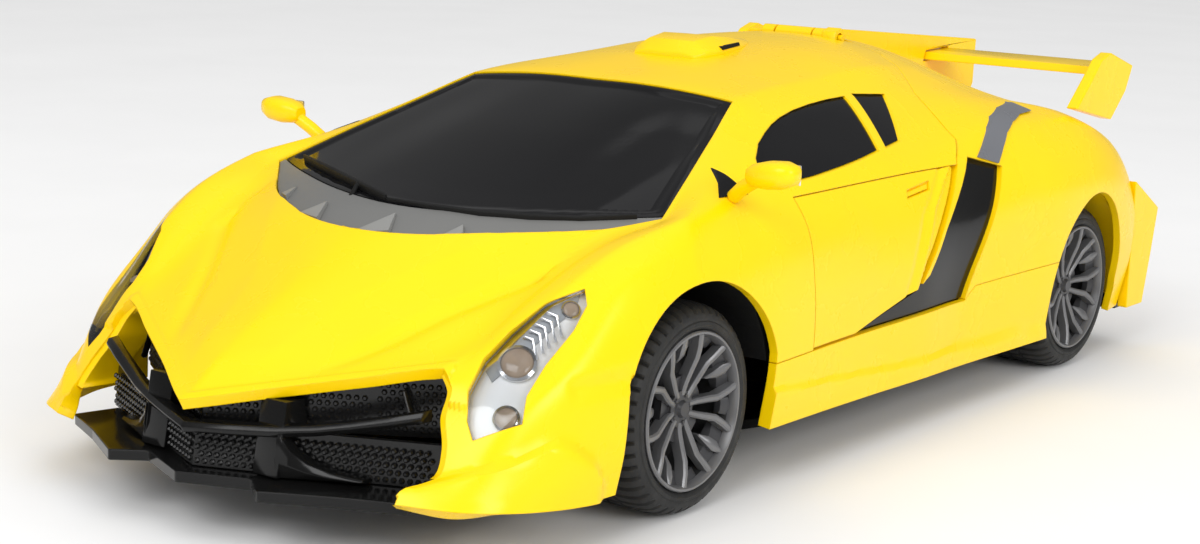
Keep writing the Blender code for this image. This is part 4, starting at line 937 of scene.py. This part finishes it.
def build_mirrors():
    """A rounded housing on a stalk, with a silvered glass towards the driver."""
    for side, word in SIDES:
        stations = ((51.4, 1.3, 1.2), (52.6, 2.2, 1.9), (55.2, 2.9, 2.35), (58.2, 2.9, 2.3), (60.2, 2.0, 1.6),
                    (60.75, 1.1, 0.9))
        rings = []
        for x, deep, tall in stations:
            lift = 55.0 + 0.09 * (x - 54)
            ring = []
            for k in range(24):
                angle = 2 * math.pi * k / 24
                c, s = math.cos(angle), math.sin(angle)
                flat_c = math.copysign(abs(c) ** 0.7, c)
                flat_s = math.copysign(abs(s) ** 0.7, s)
                ring.append(Vector((side * x, -49.3 + deep * flat_c, lift + tall * flat_s)))
            rings.append(ring)
        body = add_loft(bmesh.new(), rings)
        tube(body, [mirrored((47.4, -47.6, 50.4), side), mirrored((49.6, -48.4, 52.2), side),
                    mirrored((53.4, -49.2, 54.4), side)], 1.25, 14)
        make(body, f"mirror_{word}", YELLOW, "shell", (f"mirror_{word}",), smooth=50)
        glass = bmesh.new()
        low_x, high_x = sorted((side * 53.4, side * 59.6))
        add_box(glass, (low_x, -46.75, 53.5), (high_x, -46.3, 56.9))
        make(glass, f"mirror_glass_{word}", CHROME, "shell", bevel=0.2)


# ---------------------------------------------------------------- front insert and rear trim

def add_dots(bm, start, end, low, high, pitch, radius, rise):
    """Rows of small six-sided studs on an upright face, staggered like a honeycomb."""
    start, end = Vector((*start, 0)), Vector((*end, 0))
    run = end - start
    along = run.normalized()
    normal = Vector((along.y, -along.x, 0))
    up = Vector((0, 0, 1))
    rows = int((high - low) / (pitch * 0.866))
    for row in range(rows + 1):
        z = low + row * pitch * 0.866
        for k in range(int(run.length / pitch)):
            centre = start + along * (pitch * (k + 0.5 + 0.5 * (row % 2))) + up * z
            if (centre - start).dot(along) > run.length - radius:
                continue
            add_loft(bm, [ring_at(centre + normal * height, along, up, reach, 6)
                          for reach, height in ((radius, -0.15), (radius, 0.05), (radius * 0.5, rise))])


def add_rail(bm, stations):
    """A bar of wedge sections; each station is its front's middle and its (depth, height)."""
    rings = []
    for (x, front, middle), (depth, height) in stations:
        rings.append([(x, front, middle), (x, front + 0.5, middle + height / 2),
                      (x, front + depth, middle + height * 0.6), (x, front + depth, middle - height * 0.6),
                      (x, front + 0.5, middle - height / 2)])
    add_loft(bm, rings)


def both_sides(chain):
    return [(-x, *rest) for x, *rest in chain[:0:-1]] + chain


FRONT_BLADE = [(0, -126.8, 17.4), (7, -123.9, 17.6), (14, -121, 18), (20, -118.5, 18.8), (25, -116.2, 19.8),
               (30.5, -113.7, 21.1), (35.3, -111.4, 22.3)]
PILLARS = (((-121.4, 11), (-119.4, 22.6), (-115.4, 22.6), (-113.6, 11)), 9.9, 15.2)
PILLAR_FOOT = [(14.6, -121.4, 14.3, 6.4), (16.4, -120.4, 13.1, 4.2), (19, -119.2, 12.3, 2.4),
               (22.5, -117.6, 11.8, 1.3), (27, -115.4, 11.5, 0.7)]
UPPER_MESH = [(0, -122.2, 20.6), (14, -114.6, 23.4), (24, -109, 26), (34.6, -102.4, 27.6)]
STUD_PITCH = 1.3
LOWER_MESH = [(0, -124.4), (14, -118.6), (36.4, -108.6)]


def build_front_insert():
    """A blade that rises to its ends, flared pillars, and studded mesh above and below."""
    bars = bmesh.new()
    add_rail(bars, [((x, front, height), (2.6, 1.7)) for x, front, height in both_sides(FRONT_BLADE)])
    outline, near, far = PILLARS
    for side, _ in SIDES:
        join(bars, prism(sided(SIDE_PLANE, side), outline, near, far))
        add_rail(bars, [((side * x, front, middle), (2.4, tall)) for x, front, middle, tall in PILLAR_FOOT])
        add_rail(bars, [((side * (30.2 + lean), -108.2, z), (1.4, 1.0)) for lean, z in
                        ((-1.6, 24.6), (-0.9, 22.8), (0.2, 20.4))])
    make(bars, "front_bumper_frame", GLOSS_BLACK, "chassis", ("front_bumper_frame",),
         bevel=0.15)
    studs = bmesh.new()
    walls = []
    for x, y, top in both_sides(UPPER_MESH):
        walls.append([(x, y, 17.2), (x, y, top), (x, y + 1.2, top), (x, y + 1.2, 17.2)])
    add_loft(studs, walls)
    add_loft(studs, [[(x, y, 10.9), (x, y + 0.8, 17.6), (x, y + 2, 17.6), (x, y + 1.2, 10.9)]
                     for x, y in both_sides(LOWER_MESH)])
    for side, _ in SIDES:
        for chain, low in ((UPPER_MESH, 18.4), (LOWER_MESH, 11.7)):
            for a, b in zip(chain, chain[1:]):
                ends = ((side * a[0], a[1]), (side * b[0], b[1]))
                top = min(a[2], b[2]) + 0.2 if len(a) > 2 else 16.6
                add_dots(studs, *(ends if side > 0 else ends[::-1]), low, top, STUD_PITCH, 0.5, 0.35)
    make(studs, "front_grille_mesh", MESH_BLACK, "chassis", ("front_grille_mesh",), smooth=25)


def join(target, source):
    """Add one mesh to another, and free the second."""
    spare = bpy.data.meshes.new("spare")
    source.to_mesh(spare)
    source.free()
    target.from_mesh(spare)
    bpy.data.meshes.remove(spare)


LENS_SECTION = ((0, -0.9), (2.3, -1.35), (2.3, 0.25), (1.15, 0.95), (0, 0.7))


def build_rear_trim():
    chain = ((-46, 108.2), (-42, 111.2), (-28, 114.6), (0, 117), (28, 114.6), (42, 111.2), (46, 108.2))
    back = ((42, 108.2), (27, 112.4), (0, 114.8), (-27, 112.4), (-42, 108.2))
    studs = bmesh.new()
    for a, b in zip(chain[1:], chain[2:-1]):
        add_dots(studs, b, a, 20.6, 37.4, 2.3, 0.85, 0.6)
    join(studs, prism(TOP_PLANE, list(chain) + list(back), 19.5, 38))
    make(studs, "rear_grille_panel", MESH_BLACK, "chassis", ("rear_grille_panel",), smooth=25)
    for side, word in SIDES:
        lens = bmesh.new()
        for k in range(6):
            x = 25.0 + k * 2.8
            y = 116.2 - (x - 24) * 0.206
            rings = [[mirrored((x + lean, y + out, z), side) for lean, out in LENS_SECTION]
                     for z in (30.2, 35.3)]
            add_loft(lens, rings)
        make(lens, f"tail_light_{word}", RED_LENS, "chassis", (f"tail_light_{word}",),
             bevel=0.2)


# ---------------------------------------------------------------- wheels

def wheel_places():
    for word in ("front", "rear"):
        for side, hand in SIDES:
            low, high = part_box(f"tyre_{word}_{hand}")
            centre = (low + high) / 2 / MM
            yield word, side, hand, centre


TREAD_STEPS = 240
TREAD_PATTERN = 5


def build_tyres():
    """Carcass with shoulder lugs, staggered centre blocks and a bead ring on the outer wall."""
    profile = ([(33.9, 13.5), (33.85, 14.8), (34.1, 16.1), (34.9, 16.9), (36.2, 17.4), (37.6, 17.6)]
               + [(x, AXLE_Z) for x in (39.6, 39.9, 40.3, 42.4, 42.8, 43.2, 45.4, 45.8, 46.2)]
               + [(48.4, 17.62), (49.8, 17.5), (51.1, 17.15), (51.9, 16.6), (52.35, 16.0), (52.6, 15.3),
                  (52.55, 14.9), (52.75, 14.7), (52.8, 14.2), (52.5, 13.6), (51.8, 13.1), (36.0, 13.1)])
    grooves = {7, 10, 13}

    def depth(k, n):
        if n in grooves:
            return 0.85
        phase = (k + (3 if 7 < n < 13 else 0)) % TREAD_PATTERN
        blocks = 3 <= n <= 6 or 14 <= n <= 18 or n in (8, 9, 11, 12)
        return 0.6 if blocks and phase == 0 else 0.0

    for word, side, hand, centre in wheel_places():
        name = f"tyre_{word}_{hand}"
        bm = add_turned(bmesh.new(), centre, side, profile, TREAD_STEPS, depth)
        make(bm, name, RUBBER, BODY_OF[name], (name,), smooth=28)


def polar(centre, side, x, radius, angle):
    return Vector((side * x, centre.y + radius * math.cos(angle), centre.z + radius * math.sin(angle)))


def add_ridge(bm, centre, side, chain, middle, drop):
    """A raised bar on the rim's face through places of (radius, angle, half width, height)."""
    rings = []
    for radius, angle, half, face in chain:
        rings.append([polar(centre, side, face - low, radius, middle + angle + across * half / radius)
                      for across, low in ((-1.0, drop), (-1.0, 0.25), (-0.5, 0.0), (0.5, 0.0), (1.0, 0.25),
                                          (1.0, drop))])
    add_loft(bm, rings)


SPOKES = 5
SPOKE_TURN = 0.18
RIM_RIDGE = ((2.3, 0.3, 0.5, 50.3), (4.2, 0.36, 0.55, 50.6), (6.3, 0.4, 0.6, 51.1), (8.6, 0.43, 0.62, 51.7),
             (10.4, 0.38, 0.62, 52.2), (12.6, 0.33, 0.66, 52.55))
RIM_LEAF = ((8.0, 0.0, 0.15, 49.9), (9.4, 0.0, 0.75, 51.2), (11.0, 0.0, 0.95, 51.9), (12.6, 0.0, 0.35, 52.3))
RIM_WEB = ((2.0, 0.0, 0.9, 49.6), (4.2, 0.0, 1.5, 49.7), (5.6, 0.0, 1.9, 49.9))
RIM_OUTER_WEB = ((10.2, 0.0, 3.4, 50.3), (11.5, 0.0, 3.6, 50.9), (12.7, 0.0, 3.9, 51.4))
RIM_TEETH = ((10.9, 0.628, 1.3, 50.6), (12.7, 0.628, 1.6, 51.5))


LIP_PROFILE = [(51.0, 13.05), (52.6, 13.3), (52.85, 13.1), (52.85, 12.75), (52.3, 12.45), (51.0, 12.3)]


def build_rims():
    """Double spokes with bright ridges, over a dark barrel and a brake disc."""
    for word, side, hand, centre in wheel_places():
        name = f"rim_{word}_{hand}"
        body = BODY_OF[name]
        spokes = bmesh.new()
        lip = bmesh.new()
        add_turned(lip, centre, side, LIP_PROFILE, 96)
        for k in range(SPOKES):
            middle = math.pi / 2 + 2 * math.pi * k / SPOKES + SPOKE_TURN
            for chain, drop in ((RIM_WEB, 1.6), (RIM_OUTER_WEB, 1.4), (RIM_TEETH, 1.2)):
                add_ridge(spokes, centre, side, chain, middle, drop)
            add_ridge(lip, centre, side, RIM_LEAF, middle, 1.6)
            for turn in (-1, 1):
                add_ridge(lip, centre, side, [(r, turn * a, w, x) for r, a, w, x in RIM_RIDGE], middle, 2.0)
        add_rod(spokes, polar(centre, side, 44, 0, 0), polar(centre, side, 50.2, 0, 0), 3.1, 30)
        add_rod(spokes, polar(centre, side, 50.2, 0, 0), polar(centre, side, 50.9, 0, 0), 1.5, 30, 1.2)
        for k in range(SPOKES):
            lug = math.pi / 2 + 2 * math.pi * (k + 0.5) / SPOKES + SPOKE_TURN
            add_rod(spokes, polar(centre, side, 50.0, 2.3, lug),
                    polar(centre, side, 50.45, 2.3, lug), 0.36, 6)
        make(spokes, name, RIM, body, (name,), smooth=30)
        make(lip, f"rim_lip_{word}_{hand}", RIM_BRIGHT, body, smooth=30)
        barrel = bmesh.new()
        add_turned(barrel, centre, side,
                   [(36.2, 13.0), (51.2, 13.0), (51.2, 12.3), (47, 11.6), (36.2, 11.4)], 64)
        add_rod(barrel, polar(centre, side, 43.2, 0, 0), polar(centre, side, 44.2, 0, 0), 12.0, 48)
        make(barrel, f"rim_barrel_{word}_{hand}", RIM_DARK, body, smooth=30)
        disc = bmesh.new()
        add_rod(disc, polar(centre, side, 44.3, 0, 0), polar(centre, side, 45.2, 0, 0), 8.6, 48)
        for k in range(12):
            for reach in (5.4, 7.4):
                spot = 2 * math.pi * (k + reach * 0.1) / 12
                add_rod(disc, polar(centre, side, 45.1, reach, spot),
                        polar(centre, side, 45.35, reach, spot), 0.3, 8)
        make(disc, f"brake_disc_{word}_{hand}", RIM, body, smooth=30)


# ---------------------------------------------------------------- arches, robot and chassis details

def build_arch_liners():
    """Half-round liners inside the arches, and the inward returns beside the nose opening."""
    for side, word in SIDES:
        for name, at, radius, span, width, look, body, slot in (
                (f"front_arch_liner_{word}", FRONT_AXLE_Y, 22.4, (12, 168), (31, 52.2), MATT_BLACK, "shell",
                 "chassis_black"),
                (f"rear_arch_liner_{word}", REAR_AXLE_Y, 21.6, (-12, 172), (36, 52.6), YELLOW,
                 "chassis", "shell_yellow")):
            liner = bmesh.new()
            rows = []
            for k in range(29):
                angle = math.radians(span[0] + k * (span[1] - span[0]) / 28)
                rows.append([(side * x, at + r * math.cos(angle), AXLE_Z + r * math.sin(angle))
                             for x, r in ((width[0], radius), (width[1], radius), (width[1], radius + 0.8),
                                          (width[0], radius + 0.8))])
            add_loft(liner, rows)
            make(liner, name, look, body)
        rows = []
        for v in spread(2.9, 7.2, 8):
            edge = skin_point(0.0, v)
            rows.append([mirrored((edge.x - 0.1 - thick, edge.y + back, edge.z - 0.25 * thick), side)
                         for back, thick in ((0.4, 0.0), (7.5, 0.9), (7.5, 2.1), (0.4, 1.2))])
        returns = add_loft(bmesh.new(), rows)
        make(returns, f"nose_return_{word}", YELLOW, "shell", smooth=50)


# Place along the roof, half width and height of the scoop.
SCOOP_STATIONS = ((-2, 7.0, 0.5), (0.5, 8.4, 2.6), (6, 9.2, 3.0), (13, 8.4, 2.0), (20, 5.6, 0.8),
                  (24.5, 2.0, 0.1))


def roof_height(y):
    return 68.6 + (y - 8) * 0.064


def build_roof_scoop():
    """A low wedge on the roof with a slit in each flank."""
    scoop = bmesh.new()
    rings = []
    for y, half, top in SCOOP_STATIONS:
        roof = roof_height(y)
        rings.append([(-half, y, roof - 0.9), (half, y, roof - 0.9), (half, y, roof + top * 0.25),
                      (half * 0.62, y, roof + top), (-half * 0.62, y, roof + top),
                      (-half, y, roof + top * 0.25)])
    add_loft(scoop, rings)
    make(scoop, "roof_scoop", YELLOW, "shell", ("roof_scoop",), bevel=0.25, smooth=40)
    slits = bmesh.new()
    for side, _ in SIDES:
        add_loft(slits, [[mirrored((reach, y, roof_height(y) + 0.3 + z), side) for reach, z in
                          ((8.2, 0.4), (9.3 - (y - 6) * 0.12, 0.4), (9.05 - (y - 6) * 0.12, 1.0), (8.0, 1.0))]
                         for y in (5, 12)])
    make(slits, "roof_scoop_slits", MATT_BLACK, "shell")


def build_robot_details():
    """A generic visor face, vents, and panel steps on the robot's parts."""
    visor = bmesh.new()
    add_box(visor, (-4.9, -93.5, 21.6), (4.9, -92.6, 24.0))
    make(visor, "robot_visor", VISOR, "head", bevel=0.35)
    face = bmesh.new()
    add_box(face, (-6.4, -93.6, 24.5), (6.4, -92.4, 26.6))
    for k in range(4):
        add_box(face, (-3.2, -93.5, 16.4 + k * 1.2), (3.2, -92.6, 17.1 + k * 1.2))
    for side, _ in SIDES:
        low_x, high_x = sorted((side * 4.1, side * 6.9))
        add_box(face, (low_x, -93.5, 16.0), (high_x, -92.4, 20.9))
    make(face, "robot_face_plates", YELLOW, "head", bevel=0.3)
    chest = bmesh.new()
    for side, _ in SIDES:
        for k in range(4):
            low_x, high_x = sorted((side * 12.2, side * (18.6 - k * 0.9)))
            add_box(chest, (low_x, -72 + k * 4.4, 11.9), (high_x, -69.6 + k * 4.4, 12.8))
    make(chest, "robot_chest_vents", ROBOT_GREY, "shell", bevel=0.2)
    for side, word in SIDES:
        joints = bmesh.new()
        low_x, high_x = sorted((side * 40.9, side * 41.7))
        for y, z, radius in ((-23.4, 33.5, 2.6), (-9, 33.8, 2.2)):
            add_rod(joints, (low_x, y, z), (high_x, y, z), radius, 24)
        make(joints, f"arm_bolts_{word}", STEEL, f"{word}_door", bevel=0.15)


def build_underside():
    """Countersunk screws, ribs and a battery door pull on the floor."""
    screws = bmesh.new()
    for x, y in ((25, -78), (33, -34), (33, 50), (26, 92), (28.5, 4)):
        for side, _ in SIDES:
            add_rod(screws, (side * x, y, 5.25), (side * x, y, 5.75), 1.5, 20, 1.3)
            for turn in (0, math.pi / 2):
                add_box(screws, (side * x - 0.9, y - 0.15, 5.15), (side * x + 0.9, y + 0.15, 5.3),
                        Matrix.Rotation(turn, 4, "Z"))
    make(screws, "floor_screws", STEEL, "chassis")
    ribs = bmesh.new()
    for k in range(-3, 4):
        add_box(ribs, (k * 9 - 0.5, -98, 5.1), (k * 9 + 0.5, -88, 5.7))
        add_box(ribs, (k * 8 - 0.5, 84, 5.1), (k * 8 + 0.5, 98, 5.7))
    for k in range(5):
        add_box(ribs, (-8, 20 - k * 1.4, 5.2), (8, 20.6 - k * 1.4, 5.7))
    make(ribs, "floor_ribs", MATT_BLACK, "chassis", bevel=0.12)


KEPT_LOOKS = {
    "shell_yellow": (YELLOW, 0.35), "trim_black": (GLOSS_BLACK, 0.3), "chassis_black": (MATT_BLACK, 0.25),
    "robot_grey": (ROBOT_GREY, 0.4), "gear_nylon": (NYLON, 0.0), "steel": (STEEL, 0.12),
    "lamp_clear": (LENS, 0.0), "lamp_red": (RED_LENS, 0.2), "cowl_grey": (COWL_GREY, 0.2),
    "glazing_black": (WINDOW, 0.1), "tyre": (RUBBER, 0.0), "rim_gunmetal": (RIM, 0.0),
}


def refine_kept_nodes():
    """CAD nodes that still show get their finish, and edges rounded by modifiers."""
    for node, thing in frame["nodes"].items():
        if thing.hide_render:
            continue
        look, width = KEPT_LOOKS[RECORD_SLOTS[node]]
        thing.data.materials.clear()
        thing.data.materials.append(look)
        weld = thing.modifiers.new("weld", "WELD")
        weld.merge_threshold = 0.000002
        if width:
            bevel = thing.modifiers.new("edges", "BEVEL")
            bevel.width = width * MM
            bevel.segments = 2
            bevel.limit_method = "ANGLE"
            bevel.angle_limit = math.radians(32)


# ---------------------------------------------------------------- stage, lights and camera

def area_light(name, place_at, aim, size, power):
    data = bpy.data.lights.new(name, "AREA")
    data.shape = "RECTANGLE"
    data.size, data.size_y = size
    data.energy = power
    lamp = bpy.data.objects.new(name, data)
    lamp.location = place_at
    lamp.rotation_euler = (Vector(aim) - Vector(place_at)).to_track_quat("-Z", "Y").to_euler()
    bpy.context.scene.collection.objects.link(lamp)


def build_studio():
    floor_mesh = bmesh.new()
    bmesh.ops.create_grid(floor_mesh, x_segments=1, y_segments=1, size=4000)
    mesh = bpy.data.meshes.new("studio_floor")
    bmesh.ops.scale(floor_mesh, vec=(MM, MM, MM), verts=floor_mesh.verts)
    floor_mesh.to_mesh(mesh)
    floor_mesh.free()
    mesh.materials.append(plastic("studio_paper", (0.86, 0.86, 0.86), (0.88, 0.88, 0.88), (0.8, 0.9)))
    floor = bpy.data.objects.new("studio_floor", mesh)
    bpy.context.scene.collection.objects.link(floor)
    world = bpy.data.worlds.new("studio")
    world.use_nodes = True
    sky = world.node_tree
    sky.nodes["Background"].inputs["Color"].default_value = (1.0, 1.0, 1.0, 1.0)
    rays = sky.nodes.new("ShaderNodeLightPath")
    strength = None
    for ray, share in (("Is Camera Ray", 0.2), ("Is Glossy Ray", -0.55)):
        step = sky.nodes.new("ShaderNodeMath")
        step.operation = "MULTIPLY_ADD"
        sky.links.new(rays.outputs[ray], step.inputs[0])
        step.inputs[1].default_value = share
        step.inputs[2].default_value = 0.8
        if strength:
            sky.links.new(strength, step.inputs[2])
        strength = step.outputs["Value"]
    sky.links.new(strength, sky.nodes["Background"].inputs["Strength"])
    bpy.context.scene.world = world
    centre = (0, 0, 0.03)
    area_light("key", (0.15, -0.95, 0.75), centre, (0.7, 0.5), 5.0)
    area_light("top", (0.0, 0.2, 2.5), centre, (3.0, 3.0), 9.0)
    area_light("side", (1.0, -0.25, 0.5), centre, (0.6, 0.4), 4.0)


CAMERA_ANGLES = (36.58, 11.0, 1.89)
CAMERA_PLACE = (240.14, -343.92, 105.48)
CAMERA_LENS = 64.27


def build_camera():
    """Three-quarter view from the car's front left, a little above the bonnet."""
    azimuth, elevation, roll = (math.radians(angle) for angle in CAMERA_ANGLES)
    back = Vector((math.sin(azimuth) * math.cos(elevation), -math.cos(azimuth) * math.cos(elevation),
                   math.sin(elevation)))
    right = Vector((0, 0, 1)).cross(back).normalized()
    up = back.cross(right)
    turned_right = right * math.cos(roll) + up * math.sin(roll)
    turned_up = up * math.cos(roll) - right * math.sin(roll)
    data = bpy.data.cameras.new("camera")
    data.sensor_width = 36.0
    data.lens = CAMERA_LENS
    camera = bpy.data.objects.new("camera", data)
    matrix = Matrix((turned_right, turned_up, back)).transposed().to_4x4()
    matrix.translation = Vector(CAMERA_PLACE) * MM
    camera.matrix_world = matrix
    bpy.context.scene.collection.objects.link(camera)
    bpy.context.scene.camera = camera
    bpy.context.scene.view_settings.view_transform = "Standard"


build_camera()
build_studio()
build_front_shell()
build_rear_shell()
build_glazing()
build_doors()
build_side_trim()
build_headlights()
build_wipers()
build_cowl_ribs()
build_mirrors()
build_front_insert()
build_rear_trim()
build_tyres()
build_rims()
build_arch_liners()
build_roof_scoop()
build_robot_details()
build_underside()
refine_kept_nodes()
